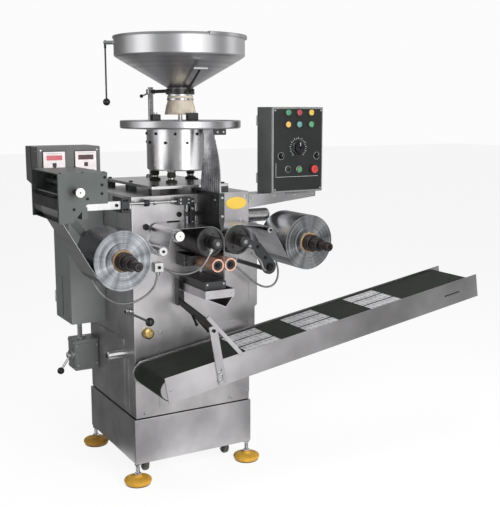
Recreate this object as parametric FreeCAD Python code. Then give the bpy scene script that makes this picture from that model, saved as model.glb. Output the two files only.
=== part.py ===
import FreeCAD, Part
import math
import os

# Strip packing machine: tablets drop from a hopper and a round feeder through
# feed tracks between two foils, which a pair of rollers seals into strips.
# Millimetres, +Z up. The origin is on the floor under the middle of the plinth,
# +X is to the right and the operator stands on the -Y side.

V = FreeCAD.Vector
X_AXIS = V(1, 0, 0)
Y_AXIS = V(0, 1, 0)
Z_AXIS = V(0, 0, 1)

# Fits
GAP = 0.3
SHAFT_FIT = 0.05
SHEET = 3.0
CLEAR = 1.0

# Cabinet
CABINET_W = 584.0
CABINET_D = 580.0
CABINET_TOP = 1313.0
LEFT = -CABINET_W / 2
RIGHT = CABINET_W / 2
FRONT = -CABINET_D / 2
BACK = CABINET_D / 2
SEAM_H = 4.0
SEAM_INSET = 5.0
COVER_T = 2.0
LOWER_COVER_LEFT = LEFT + 116.0
LOWER_COVER_BOTTOM = 346.0
LOWER_COVER_TOP = 709.0
SIDE_COVER_T = 5.0
SIDE_COVER_FRONT = FRONT + 120.0
SIDE_COVER_BACK = BACK - 137.0
SIDE_COVER_BOTTOM = 338.0
SIDE_COVER_TOP = 655.0
SIDE_BOX_T = 55.0
SIDE_BOX_STEP = 42.0
SIDE_BOX_FRONT = FRONT + 18.0
SIDE_BOX_BACK = BACK - 140.0
SIDE_BOX_BOTTOM = 640.0
SIDE_BOX_LEDGE = 766.0
RIGHT_BOSS_R = 32.0
RIGHT_BOSS_L = 120.0
RIGHT_BOSS_Z = CABINET_TOP - 118.0
SIDE_BOX_TOP = RIGHT_BOSS_Z - RIGHT_BOSS_R - 3.0
LEFT_BOSS_Y = FRONT + 84.0
LEFT_BOSS_Z = 600.0
LEFT_BOSS_R = 23.0
LEFT_BOSS_L = 100.0
BRASS_X = LEFT + 63.0
BRASS_Z = 702.0
BRASS_R = 23.0
BRASS_L = 24.0

# Base
PLINTH_W = CABINET_W + 16.0
PLINTH_D = CABINET_D + 5.0
PLINTH_BOTTOM = 95.0
PLINTH_TOP = 306.0
FOOT_X = PLINTH_W / 2 - 16.0
FOOT_Y = PLINTH_D / 2 - 15.5
FOOT_R = 64.0
FOOT_H = 32.0
FOOT_NECK_R = 17.0
FOOT_NECK_H = 18.0
STUD_R = 9.0
CASTER_X = PLINTH_W / 2 - 89.0
CASTER_Y = PLINTH_D / 2 - 110.5
WHEEL_R = 34.0
WHEEL_W = 24.0
WHEEL_LIFT = 14.0
AXLE_R = 5.0
FORK_T = 4.0
FORK_GAP = 2.0

# Feeder and hopper
FEEDER_X = 60.0
FEEDER_Y = BACK - 340.0
PLATE_LEFT = -195.0
PLATE_RIGHT = 184.0
PLATE_T = 13.0
SPACER_H = 27.0
SPACER_SIDE = 40.0
MOUNT_CIRCLE_R = 132.0
MOUNT_R = 15.0
MOUNT_FLANGE_R = 26.0
MOUNT_FLANGE_T = 10.0
MOUNT_H = 55.0
DRUM_R = 160.0
DRUM_H = 190.0
DISC_R = 282.0
DISC_H = 38.0
DISC_EDGE = 6.0
PAN_R = DISC_R - 14.0
PAN_DEPTH = 14.0
PLATE_BOTTOM = CABINET_TOP + SPACER_H
PLATE_TOP = PLATE_BOTTOM + PLATE_T
DRUM_BOTTOM = PLATE_TOP + MOUNT_H
DISC_BOTTOM = DRUM_BOTTOM + DRUM_H
DISC_TOP = DISC_BOTTOM + DISC_H
CLAMP_ON_DISC = (-130.0, -92.0, FEEDER_Y - 118.0, FEEDER_Y - 82.0)
CLAMP_ON_DISC_H = 42.0
STUD_ON_DISC = V(16, FEEDER_Y - 90, 0)
STUD_ON_DISC_R = 10.0
STUD_ON_DISC_H = 46.0
BLOCK_ON_DISC = (46.0, 97.0, FEEDER_Y - 115.0, FEEDER_Y - 85.0)
BLOCK_ON_DISC_H = 48.0
DRIVE_UNDER_DISC = (116.0, 176.0, FEEDER_Y - 236.0, FEEDER_Y - 190.0)
DRIVE_UNDER_DISC_H = 26.0
NECK_R = 58.0
NECK_BOTTOM = DISC_TOP + 64.0
CONE_BOTTOM = NECK_BOTTOM + 82.0
CONE_TOP = CONE_BOTTOM + 142.0
RIM_Z = CONE_TOP + 86.0
RIM_R = 302.0
HOPPER_T = 2.5
BEAD_R = 6.0
LID_T = 3.0
LID_SKIRT = 12.0
BOOT_TOP = NECK_BOTTOM + 48.0
BOOT_BOTTOM = NECK_BOTTOM - 38.0
BOOT_FLARE = 13.0
BOOT_T = 3.0
POST_X = 40.0
POST_Y = FEEDER_Y + DISC_R + 18.0
POST_R = 13.0
POST_FLANGE_R = 30.0
POST_FLANGE_T = 10.0
COLLAR_BOTTOM = NECK_BOTTOM + 64.0
COLLAR_TOP = COLLAR_BOTTOM + 16.0
COLLAR_T = 8.0
ARM_W = 20.0
LEVER_RING_H = 9.0
LEVER_RING_T = 9.0
LEVER_LUG_R = NECK_R + 18.0
LEVER_LUG_W = 16.0
LEVER_REACH = NECK_R + 192.0
LEVER_RISE = 104.0
LEVER_ROD_R = 5.0
LEVER_GRIP_R = 6.0
LEVER_GRIP_L = 66.0
LEVER_HEADING = -4.0
HANG_HEADING = 150.0
HANG_OUT = 42.0
HANG_Z = RIM_Z - 20.0
HANG_L = 270.0
HANG_ROD_R = 4.0
HANG_EYE_R = 11.0
HANG_EYE_T = 10.0
HANG_PIN_R = 4.0
HANG_BALL_R = 17.0

# Rollers
FLANGE_T = 11.5
ROLLER_L = 218.5
ROLLER_BACK = FRONT - FLANGE_T - CLEAR
ROLLER_FRONT = ROLLER_BACK - ROLLER_L
NIP_X = 38.0
NIP_GAP = 5.0
SEAL_R = 64.5
SEAL_Z = CABINET_TOP - 185.0
PULL_R = 28.5
PULL_Z = SEAL_Z - 106.0
SHAFT_R = 12.0
STUB_R = 8.0
SEAL_FLANGE_R = 34.0
PULL_FLANGE_R = 24.0
HUB_RIM_T = 9.0
HUB_RECESS = 7.0
HUB_CORE_R = 20.0
LANES = 10
RING_R = 26.0
RING_FRONT = ROLLER_FRONT - 69.0
RING_CAP = 6.0
FITTING_R = 8.0
FITTING_L = 24.0
ARM_PLATE_T = 12.0
ARM_BOSS = V(258, 0, SEAL_Z - 131)
ARM_BOSS_R = 33.0
ARM_ELBOW = V(198, 0, SEAL_Z - 36)
ARM_ELBOW_R = 20.0
ARM_EYE_R = 24.0
ARM_SHAFT = V(236, 0, SEAL_Z - 138)
ARM_SHAFT_R = 10.0
SEAL_OFFSET = SEAL_R + NIP_GAP / 2
PULL_OFFSET = PULL_R + NIP_GAP / 2
LEFT_SEAL = V(NIP_X - SEAL_OFFSET, 0, SEAL_Z)
RIGHT_SEAL = V(NIP_X + SEAL_OFFSET, 0, SEAL_Z)
LEFT_PULL = V(NIP_X - PULL_OFFSET, 0, PULL_Z)
RIGHT_PULL = V(NIP_X + PULL_OFFSET, 0, PULL_Z)
ARM_BACK = ROLLER_FRONT - 2 * GAP
ARM_FRONT = ARM_BACK - ARM_PLATE_T
RIGHT_RING_BACK = ARM_FRONT - GAP
LEFT_RING_BACK = ROLLER_FRONT - GAP

# Foil
FOIL_T = 0.8
FOIL_FRONT = ROLLER_FRONT + CLEAR
FOIL_BACK = ROLLER_BACK - 1.5
FOIL_END_Z = SEAL_Z - 180.0
REEL_R = 125.0
REEL_FRONT = ROLLER_FRONT
REEL_BACK = FRONT - 10.0
HUB_STEPS = [(38.0, 38.0), (30.0, 52.0), (20.0, 75.0)]
SPINDLE_R = 15.0
LEFT_REEL = V(LEFT - 133, 0, SEAL_Z - 48)
RIGHT_REEL = V(RIGHT + 182, 0, SEAL_Z - 39)
LOWER_GUIDE = V(LEFT + 45, 0, SEAL_Z - 24)
LOWER_GUIDE_R = 22.0
LEFT_GUIDE = V(LEFT + 111, 0, SEAL_Z + 37)
LEFT_GUIDE_R = 27.0
RIGHT_GUIDE = V(RIGHT - 22, 0, SEAL_Z + 31)
RIGHT_GUIDE_R = 14.0
GUIDE_SHAFT_R = 10.0
GUIDE_KNOB_R = 21.0
GUIDE_KNOB_L = 22.0

# Printing unit
UNIT_FRONT = ROLLER_FRONT - 24.0
UNIT_BACK = FRONT + 110.0
UNIT_PLATE_T = 12.0
UNIT_RIGHT = LEFT - 200.0
UNIT_LEFT = UNIT_RIGHT - 199.0
UNIT_TOP = CABINET_TOP + 127.0
UNIT_NECK = UNIT_RIGHT - 85.0
UNIT_OUTLINE = [V(UNIT_LEFT, 0, UNIT_TOP), V(UNIT_RIGHT, 0, UNIT_TOP), V(UNIT_RIGHT, 0, UNIT_TOP - 120),
                V(UNIT_NECK, 0, UNIT_TOP - 120), V(UNIT_NECK - 60, 0, UNIT_TOP - 190),
                V(UNIT_LEFT, 0, UNIT_TOP - 192)]
UNIT_TIE = (UNIT_NECK - 23, UNIT_NECK, UNIT_TOP - 178, UNIT_TOP - 130)
PRINT_ROLLER = V(UNIT_LEFT + 43, 0, UNIT_TOP - 148)
PRINT_ROLLER_R = 40.0
INK_ROLLER = V(UNIT_RIGHT - 56, 0, UNIT_TOP - 62)
INK_ROLLER_R = 30.0
TURN_ROLLER = V(UNIT_LEFT + 73, 0, UNIT_TOP - 45)
TURN_ROLLER_R = 22.0
UNIT_KNOB = V(UNIT_LEFT + 71, 0, UNIT_TOP - 72)
UNIT_KNOB_R = 22.0
UNIT_KNOB_REACH = 62.0
SWING_ROLLER = V(UNIT_NECK + 99, 0, UNIT_TOP - 312)
SWING_ROLLER_R = 20.0
SWING_W = 30.0
SWING_FRONT = FRONT + 6.0
SWING_T = 8.0
SWING_ROLLER_L = 80.0

# Arms that carry the unit and the reels
BAR_Z = CABINET_TOP - 26.0
BAR_H = 36.0
BAR_FRONT = FRONT - 55.0
BAR_T = 18.0
CLAMP_RIGHT = LEFT - 33.0
CLAMP_LEFT = CLAMP_RIGHT - 37.0
CLAMP_FRONT = FRONT - 66.0
CLAMP_BACK = FRONT + 42.0
CLAMP_H = 66.0
REEL_ARM_FRONT = FRONT + 24.0
REEL_ARM_T = 36.0
REEL_ARM_H = 60.0
REEL_BOSS_R = 38.0

# Register shaft on the front
REGISTER_Y = FRONT - 28.0
REGISTER_R = 6.0
REGISTER_RIGHT = -62.0
REGISTER_KNOB_X = LEFT + 59.0
REGISTER_KNOB_R = 14.0
BLOCK_LEFT = REGISTER_RIGHT - 28.0
BLOCK_RIGHT = REGISTER_RIGHT + 36.0
BLOCK_H = 34.0
CLAMP_BLOCK = V(LEFT + 67, FRONT - 115, SEAL_Z - 108)
CLAMP_BLOCK_SIDE = 40.0
CLAMP_ROD_R = 8.0

# Feed block and tracks
BLOCK_TOP = SEAL_Z + 202.0
BLOCK_WAIST = SEAL_Z + 87.0
BLOCK_TIP = SEAL_Z + 38.0
BLOCK_HALF = 13.0
TIP_HALF = 5.0
FEED_FRONT = ROLLER_FRONT + 21.0
FEED_LANE_FRONT = FEED_FRONT + 12.0
FEED_LANE_PITCH = 19.0
GROOVE_W = 6.0
GROOVE_DEPTH = 3.0
TRACK_W = 4.4
TRACK_D = 5.5
TRACK_TOP_X = 40.0
TRACK_TOP_PITCH = 6.8
TRACK_TOP_Y = FEEDER_Y - DISC_R + 16.0
TRACK_BOW = 26.0
TRACK_SECTIONS = 6

# Cutter, tray and chute
CUTTER_LEFT = -70.0
CUTTER_RIGHT = 33.0
CUTTER_FRONT = FRONT - 255.0
CUTTER_TOP = SEAL_Z - 168.0
TRAY_LEFT = CUTTER_LEFT - 4.0
TRAY_RIGHT = 66.0
TRAY_FRONT = CUTTER_FRONT - 15.0
TRAY_BOTTOM = CUTTER_TOP - 72.0
TRAY_H = 36.0
TRAY_SLOT_RIGHT = 48.0
CHUTE_X = 24.0
CHUTE_TIP_Z = TRAY_BOTTOM - 44.0
CHUTE_INSET = 6.0

# Conveyor, drawn level along its own length and then tilted
CONVEYOR_ANGLE = 9.12
CONVEYOR_X = LEFT + 5.0
CONVEYOR_Z = 586.0
CONVEYOR_L = 1749.0
CONVEYOR_W = 280.0
CONVEYOR_BACK = FRONT - 30.0
CONVEYOR_FRONT = CONVEYOR_BACK - CONVEYOR_W
CONVEYOR_H = 116.0
DRUM_BELT_R = 46.0
BELT_T = 3.0
BELT_DROP = 9.0
HEAD_DRUM = 20.0
TAIL_DRUM = CONVEYOR_L - 59.0
BED_RAIL = 6.0
BELT_SIDE_GAP = 2.0
STANDOFFS = (-150.0, 200.0)
STANDOFF_R = 16.0
STRIP_L = 180.0
STRIP_W = 76.0
STRIP_T = 2.0
STRIP_PITCH = 88.0
STRIP_ROWS = 3
STRIP_GROUPS = (404.0, 726.0, 1098.0)

# Hanger of the conveyor
BRACKET_LEFT = TRAY_LEFT - 18.0
BRACKET_RIGHT = TRAY_LEFT + 26.0
BRACKET_TOP = TRAY_BOTTOM + 52.0
BRACKET_BOTTOM = TRAY_BOTTOM - 70.0
BRACKET_OUTLINE = [V(BRACKET_LEFT, 0, BRACKET_TOP), V(BRACKET_LEFT + 8, 0, BRACKET_TOP),
                   V(TRAY_LEFT - CLEAR, 0, BRACKET_TOP - 22), V(TRAY_LEFT - CLEAR, 0, TRAY_BOTTOM - 3),
                   V(BRACKET_RIGHT - 10, 0, TRAY_BOTTOM - 9), V(BRACKET_RIGHT, 0, TRAY_BOTTOM - 14),
                   V(BRACKET_RIGHT, 0, BRACKET_BOTTOM + 14), V(BRACKET_RIGHT - 18, 0, BRACKET_BOTTOM),
                   V(BRACKET_LEFT, 0, BRACKET_BOTTOM)]
BRACKET_T = 4.0
FLANGE_D = 36.0
HANGER_ROOT = V(BRACKET_LEFT + 4, 0, TRAY_BOTTOM - 42)
HANGER_END = V(BRACKET_LEFT + 29, 0, TRAY_BOTTOM - 114)
HANGER_T = 8.0
HANGER_ROOT_H = 28.0
HANGER_END_H = 42.0
SLOT_BAR_W = 38.0
SLOT_BAR_T = 5.0
SLOT_BAR_FOOT = V(-16, 0, CONVEYOR_Z - 64)
SLOT_W = 10.0
SLANT_TOP = V(BRACKET_LEFT + 4, 0, TRAY_BOTTOM - 64)
SLANT_FOOT = V(80, 0, CONVEYOR_Z + 50)
SLANT_W = 18.0

# Boxes on the left
EBOX_LEFT = LEFT - 170.0
EBOX_FRONT = BACK - 232.0
EBOX_BACK = BACK
EBOX_BOTTOM = 692.0
EBOX_TOP = CABINET_TOP + 17.0
TBOX_LEFT = LEFT - 302.0
TBOX_RIGHT = LEFT - 8.0
TBOX_D = 190.0
TBOX_TOP = EBOX_TOP + 190.0
TBOX_CHAMFER = 34.0
CONTROLLER_W = 108.0
CONTROLLER_H = 108.0
CONTROLLER_T = 6.0
CONTROLLER_X = (TBOX_LEFT + 76.0, TBOX_LEFT + 223.0)
CONTROLLER_Z = TBOX_TOP - 72.0
GEAR_LEFT = LEFT - 120.0
GEAR_FRONT = BACK - 114.0
GEAR_BACK = BACK - 7.0
GEAR_BOTTOM = 429.0
GEAR_TOP = 580.0
CRANK_Y = GEAR_FRONT + 36.0
CRANK_Z = 505.0
GEAR_BOSS_R = 22.0
GEAR_BOSS_L = 14.0
CRANK_PIN_R = 7.0
CRANK_HUB_R = 15.0
CRANK_HUB_L = 16.0
CRANK_ROD_R = 6.0
CRANK_BALL = V(GEAR_LEFT - 66, CRANK_Y - 8, CRANK_Z - 71)
CRANK_BALL_R = 17.0
CLUTCH_Y = FRONT + 32.0
CLUTCH_Z = 803.0
CLUTCH_BOSS_R = 17.0
CLUTCH_BOSS_L = 12.0
CLUTCH_HUB_R = 16.0
CLUTCH_HUB_L = 14.0
CLUTCH_ROD_R = 6.0
CLUTCH_REACH = 255.0
CLUTCH_BALL_R = 19.0

# Control box on the right
CONTROL_LEFT = RIGHT + 117.0
CONTROL_RIGHT = CONTROL_LEFT + 288.0
CONTROL_FRONT = FRONT - 10.0
CONTROL_D = 140.0
CONTROL_BOTTOM = CABINET_TOP - 16.0
CONTROL_TOP = CONTROL_BOTTOM + 400.0
CONTROL_EDGE = 8.0
CONTROL_ARM_END = CONTROL_RIGHT - 34.0
CONTROL_ARM_ROOT_Z = CONTROL_BOTTOM - 63.0
CONTROL_ARM_TIP_Z = CONTROL_BOTTOM - 25.0
CONTROL_ARM_D = 116.0
DIAL = V(CONTROL_LEFT + 145, 0, CONTROL_TOP - 189)
DIAL_R = 36.0
DIAL_H = 22.0
LAMP_COLUMNS = (CONTROL_LEFT + 87.0, CONTROL_LEFT + 149.0, CONTROL_LEFT + 216.0)
LAMP_ROWS = (CONTROL_TOP - 26.0, CONTROL_TOP - 81.0)
LAMP_R = 14.0
LAMP_H = 9.0
POTS = [V(CONTROL_LEFT + 50, 0, DIAL.z - 38), V(CONTROL_LEFT + 251, 0, DIAL.z - 41)]
POT_R = 11.0
POT_H = 14.0
BUTTONS = [V(LAMP_COLUMNS[0] - 1, 0, CONTROL_BOTTOM + 110), V(LAMP_COLUMNS[1], 0, CONTROL_BOTTOM + 108)]
BUTTON_R = 14.0
BUTTON_H = 12.0
STOP_BUTTON = V(LAMP_COLUMNS[2] + 13, 0, CONTROL_BOTTOM + 107)
STOP_R = 19.0
STOP_H = 22.0

# Conduits: hand-chosen points of each route, from gland to gland
CONDUIT_R = 5.0
CONDUIT_LEFT_FEED = [V(-48, -556, 1088), V(-68, -554, 1045), V(-106, -534, 1006),
                     V(-150, -490, 992), V(-182, -442, 1000), V(-212, -408, 1018)]
CONDUIT_LEFT_LOOP = [V(-225, -405, 1006), V(-228, -403, 952), V(-262, -394, 903),
                     V(-328, -376, 866), V(-394, -348, 864), V(-444, -306, 902),
                     V(-462, -250, 956), V(-458, -160, 990), V(-449, -50, 1012),
                     V(-444, 64, 1016)]
CONDUIT_RIGHT_LOOP = [V(182, -284, 992), V(184, -338, 986), V(222, -352, 946),
                      V(274, -354, 900), V(336, -352, 862), V(400, -342, 864),
                      V(440, -318, 910), V(452, -276, 962), V(450, -248, 1012),
                      V(450, -248, 1065)]


def box(x0, x1, y0, y1, z0, z1):
    return Part.makeBox(x1 - x0, y1 - y0, z1 - z0, V(x0, y0, z0))


def rod(start, end, radius):
    way = end - start
    return Part.makeCylinder(radius, way.Length, start, way)


def at_y(point, y):
    return V(point.x, y, point.z)


def rod_y(point, y0, y1, radius):
    return Part.makeCylinder(radius, y1 - y0, at_y(point, y0), Y_AXIS)


def plate_xz(points, y0, y1):
    corners = [at_y(p, y0) for p in points]
    face = Part.Face(Part.makePolygon(corners + corners[:1]))
    return face.extrude(V(0, y1 - y0, 0))


def turned(profile, x, y):
    points = [V(r, 0, z) for r, z in profile]
    face = Part.Face(Part.makePolygon(points + points[:1]))
    solid = face.revolve(V(0, 0, 0), Z_AXIS, 360)
    solid.translate(V(x, y, 0))
    return solid


def fused(first, *others):
    return first.fuse(list(others)).removeSplitter()


def heading(angle):
    turn = math.radians(angle)
    return V(math.sin(turn), -math.cos(turn), 0)


def save(name, *solids):
    shape = solids[0] if len(solids) == 1 else Part.makeCompound(list(solids))
    shape.exportStep("parts/" + name + ".step")
    print(name, len(shape.Solids), "solids", round(shape.Volume / 1000), "cm3")


def plinth():
    half_w = PLINTH_W / 2
    half_d = PLINTH_D / 2
    return box(-half_w, half_w, -half_d, half_d, PLINTH_BOTTOM, PLINTH_TOP)


def levelling_foot(x, y):
    neck_top = FOOT_H + FOOT_NECK_H
    pad = turned([(0, 0), (FOOT_R - 8, 0), (FOOT_R - 4, 8), (FOOT_R, 16), (FOOT_R - 4, 26),
                  (FOOT_R - 16, FOOT_H), (FOOT_NECK_R + 3, FOOT_H + 2), (FOOT_NECK_R, neck_top),
                  (0, neck_top)], x, y)
    stud = rod(V(x, y, neck_top), V(x, y, PLINTH_BOTTOM), STUD_R)
    return fused(pad, stud)


def caster_fork(x, y):
    axle_z = WHEEL_LIFT + WHEEL_R
    half = WHEEL_W / 2 + FORK_GAP
    top = box(x - half - FORK_T, x + half + FORK_T, y - 20, y + 20, PLINTH_BOTTOM - 8, PLINTH_BOTTOM)
    cheeks = [box(x - half - FORK_T, x - half, y - 13, y + 13, axle_z - 11, PLINTH_BOTTOM - 4),
              box(x + half, x + half + FORK_T, y - 13, y + 13, axle_z - 11, PLINTH_BOTTOM - 4)]
    axle = rod(V(x - half - FORK_T - 2, y, axle_z), V(x + half + FORK_T + 2, y, axle_z), AXLE_R)
    return fused(top, *cheeks, axle)


def caster_wheel(x, y):
    centre = V(x - WHEEL_W / 2, y, WHEEL_LIFT + WHEEL_R)
    wheel = Part.makeCylinder(WHEEL_R, WHEEL_W, centre, X_AXIS)
    wheel = wheel.makeFillet(5, [e for e in wheel.Edges if e.Closed])
    return wheel.cut(Part.makeCylinder(AXLE_R + SHAFT_FIT, WHEEL_W, centre, X_AXIS))


def cabinet_body():
    body = box(LEFT, RIGHT, FRONT, BACK, PLINTH_TOP + SEAM_H, CABINET_TOP)
    seam = box(LEFT + SEAM_INSET, RIGHT - SEAM_INSET, FRONT + SEAM_INSET, BACK - SEAM_INSET,
               PLINTH_TOP, PLINTH_TOP + SEAM_H)
    left_boss = Part.makeCylinder(LEFT_BOSS_R, LEFT_BOSS_L,
                                  V(LEFT - LEFT_BOSS_L, LEFT_BOSS_Y, LEFT_BOSS_Z), X_AXIS)
    clutch_boss = Part.makeCylinder(CLUTCH_BOSS_R, CLUTCH_BOSS_L,
                                    V(LEFT - CLUTCH_BOSS_L, CLUTCH_Y, CLUTCH_Z), X_AXIS)
    right_boss = Part.makeCylinder(RIGHT_BOSS_R, RIGHT_BOSS_L,
                                   V(RIGHT, FRONT + RIGHT_BOSS_R, RIGHT_BOSS_Z), X_AXIS)
    return fused(body, seam, left_boss, clutch_boss, right_boss)


def covers():
    front = box(LOWER_COVER_LEFT, RIGHT, FRONT - COVER_T, FRONT, LOWER_COVER_BOTTOM, LOWER_COVER_TOP)
    left = box(LEFT - SIDE_COVER_T, LEFT, SIDE_COVER_FRONT, SIDE_COVER_BACK,
               SIDE_COVER_BOTTOM, SIDE_COVER_TOP)
    outline = [V(RIGHT, 0, SIDE_BOX_BOTTOM), V(RIGHT + SIDE_BOX_STEP, 0, SIDE_BOX_BOTTOM),
               V(RIGHT + SIDE_BOX_STEP, 0, SIDE_BOX_LEDGE - 10),
               V(RIGHT + SIDE_BOX_T, 0, SIDE_BOX_LEDGE), V(RIGHT + SIDE_BOX_T, 0, SIDE_BOX_TOP),
               V(RIGHT, 0, SIDE_BOX_TOP)]
    right = plate_xz(outline, SIDE_BOX_FRONT, SIDE_BOX_BACK)
    return [front, left, right]


def brass_knob():
    centre = V(BRASS_X, 0, BRASS_Z)
    head = rod_y(centre, FRONT - BRASS_L, FRONT - 6, BRASS_R)
    head = head.makeFillet(5, [e for e in head.Edges if e.Closed and abs(e.BoundBox.YMin - FRONT + BRASS_L) < 1])
    return fused(head, rod_y(centre, FRONT - 6, FRONT, BRASS_R - 8))


def feeder_plate():
    plate = box(PLATE_LEFT, PLATE_RIGHT, FRONT, BACK, PLATE_BOTTOM, PLATE_TOP)
    spacers = []
    for x in (PLATE_LEFT, PLATE_RIGHT - SPACER_SIDE):
        for y in (FRONT, -SPACER_SIDE / 2, BACK - SPACER_SIDE):
            spacers.append(box(x, x + SPACER_SIDE, y, y + SPACER_SIDE, CABINET_TOP, PLATE_BOTTOM))
    return fused(plate, *spacers)


def feeder_drum():
    centre = V(FEEDER_X, FEEDER_Y, 0)
    drum = Part.makeCylinder(DRUM_R, DRUM_H, centre + V(0, 0, DRUM_BOTTOM))
    drum = drum.makeFillet(6, [e for e in drum.Edges if e.Closed and e.BoundBox.ZMax < DRUM_BOTTOM + 1])
    mounts = []
    for k in range(4):
        foot = centre + heading(45 + 90 * k) * MOUNT_CIRCLE_R + V(0, 0, PLATE_TOP)
        mounts.append(Part.makeCylinder(MOUNT_FLANGE_R, MOUNT_FLANGE_T, foot))
        mounts.append(Part.makeCylinder(MOUNT_R, MOUNT_H, foot))
    return fused(drum, *mounts)


def bowl_disc():
    profile = [(0, DISC_BOTTOM), (DISC_R - DISC_EDGE, DISC_BOTTOM), (DISC_R, DISC_BOTTOM + DISC_EDGE),
               (DISC_R, DISC_TOP - 3), (DISC_R - 3, DISC_TOP), (PAN_R, DISC_TOP),
               (PAN_R - 4, DISC_TOP - PAN_DEPTH), (0, DISC_TOP - PAN_DEPTH)]
    return turned(profile, FEEDER_X, FEEDER_Y)


def disc_fittings():
    floor = DISC_TOP - PAN_DEPTH
    left, right, front, back = CLAMP_ON_DISC
    clamp = box(left, right, front, back, floor, floor + CLAMP_ON_DISC_H)
    stud = Part.makeCylinder(STUD_ON_DISC_R, STUD_ON_DISC_H, STUD_ON_DISC + V(0, 0, floor))
    left, right, front, back = BLOCK_ON_DISC
    block = box(left, right, front, back, floor, floor + BLOCK_ON_DISC_H)
    left, right, front, back = DRIVE_UNDER_DISC
    drive = box(left, right, front, back, DISC_BOTTOM - DRIVE_UNDER_DISC_H, DISC_BOTTOM)
    return [clamp, stud, block, drive]


def hopper():
    bore = NECK_R - HOPPER_T
    profile = [(NECK_R, NECK_BOTTOM), (NECK_R, CONE_BOTTOM), (RIM_R, CONE_TOP), (RIM_R, RIM_Z),
               (RIM_R - HOPPER_T, RIM_Z), (RIM_R - HOPPER_T, CONE_TOP + 1.4),
               (bore, CONE_BOTTOM + 1.4), (bore, NECK_BOTTOM)]
    shell = turned(profile, FEEDER_X, FEEDER_Y)
    bead = Part.makeTorus(RIM_R, BEAD_R, V(FEEDER_X, FEEDER_Y, RIM_Z), Z_AXIS)
    pin_way = heading(HANG_HEADING - 270)
    root = V(FEEDER_X, FEEDER_Y, HANG_Z) + pin_way * (RIM_R - 1)
    lug = Part.makeCylinder(HANG_PIN_R, HANG_OUT + HANG_EYE_T / 2 + 3, root, pin_way)
    collar = Part.makeCylinder(HANG_PIN_R + 5, HANG_OUT - HANG_EYE_T / 2 + 1 - GAP, root, pin_way)
    return fused(shell, bead, lug, collar)


def hopper_lid():
    bottom = RIM_Z + BEAD_R
    outer = RIM_R + BEAD_R + LID_T + GAP
    disc = Part.makeCylinder(outer, LID_T + LID_SKIRT, V(FEEDER_X, FEEDER_Y, bottom - LID_SKIRT))
    hollow = Part.makeCylinder(outer - LID_T, LID_SKIRT, V(FEEDER_X, FEEDER_Y, bottom - LID_SKIRT))
    keep = box(FEEDER_X, FEEDER_X + 2 * outer, FEEDER_Y - 2 * outer, FEEDER_Y + 2 * outer,
               bottom - LID_SKIRT, bottom + LID_T)
    return disc.cut(hollow).common(keep)


def hopper_boot():
    inner = NECK_R + GAP
    profile = [(inner, BOOT_TOP), (inner + BOOT_T, BOOT_TOP), (inner + BOOT_T, BOOT_TOP - 24),
               (inner + BOOT_T + BOOT_FLARE, BOOT_BOTTOM), (inner + BOOT_FLARE, BOOT_BOTTOM),
               (inner, BOOT_TOP - 24)]
    return turned(profile, FEEDER_X, FEEDER_Y)


def hopper_stand():
    foot = V(POST_X, POST_Y, PLATE_TOP)
    post = Part.makeCylinder(POST_R, COLLAR_TOP + 14 - PLATE_TOP, foot)
    flange = Part.makeCylinder(POST_FLANGE_R, POST_FLANGE_T, foot)
    sleeve = Part.makeCylinder(POST_R + 9, COLLAR_TOP - COLLAR_BOTTOM + 8,
                               V(POST_X, POST_Y, COLLAR_BOTTOM - 4))
    neck = V(FEEDER_X, FEEDER_Y, COLLAR_BOTTOM)
    collar_h = COLLAR_TOP - COLLAR_BOTTOM
    ring = Part.makeCylinder(NECK_R + GAP + COLLAR_T, collar_h, neck)
    way = V(POST_X - FEEDER_X, POST_Y - FEEDER_Y, 0)
    length = way.Length
    arm = Part.makeBox(length, ARM_W, collar_h, V(0, -ARM_W / 2, 0))
    arm.rotate(V(0, 0, 0), Z_AXIS, math.degrees(math.atan2(way.y, way.x)))
    arm.translate(neck)
    body = fused(post, flange, sleeve, ring, arm)
    body = body.cut(Part.makeCylinder(NECK_R + GAP, collar_h + 2, neck - V(0, 0, 1)))
    handle = lever_rod(V(POST_X, POST_Y, COLLAR_BOTTOM + 4), V(POST_X - 58, POST_Y - 22, COLLAR_BOTTOM - 14), 4, 9)
    return fused(body, handle)


def shutter_lever():
    base = V(FEEDER_X, FEEDER_Y, COLLAR_BOTTOM - GAP - LEVER_RING_H)
    ring = Part.makeCylinder(NECK_R + SHAFT_FIT + LEVER_RING_T, LEVER_RING_H, base)
    ring = ring.cut(Part.makeCylinder(NECK_R + SHAFT_FIT, LEVER_RING_H, base))
    way = heading(LEVER_HEADING)
    mid = base + V(0, 0, LEVER_RING_H / 2)
    start = mid + way * (LEVER_LUG_R - 3)
    end = mid + way * LEVER_REACH + V(0, 0, LEVER_RISE)
    arm = rod(start, end, LEVER_ROD_R)
    side = V(-way.y, way.x, 0)
    grip = rod(end - side * (LEVER_GRIP_L / 2), end + side * (LEVER_GRIP_L / 2), LEVER_GRIP_R)
    lug = Part.makeBox(LEVER_LUG_R - NECK_R - 3, LEVER_LUG_W, LEVER_RING_H, V(NECK_R + 3, -LEVER_LUG_W / 2, 0))
    lug.rotate(V(0, 0, 0), Z_AXIS, LEVER_HEADING - 90)
    lug.translate(base)
    return fused(ring, lug, arm, grip)


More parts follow.
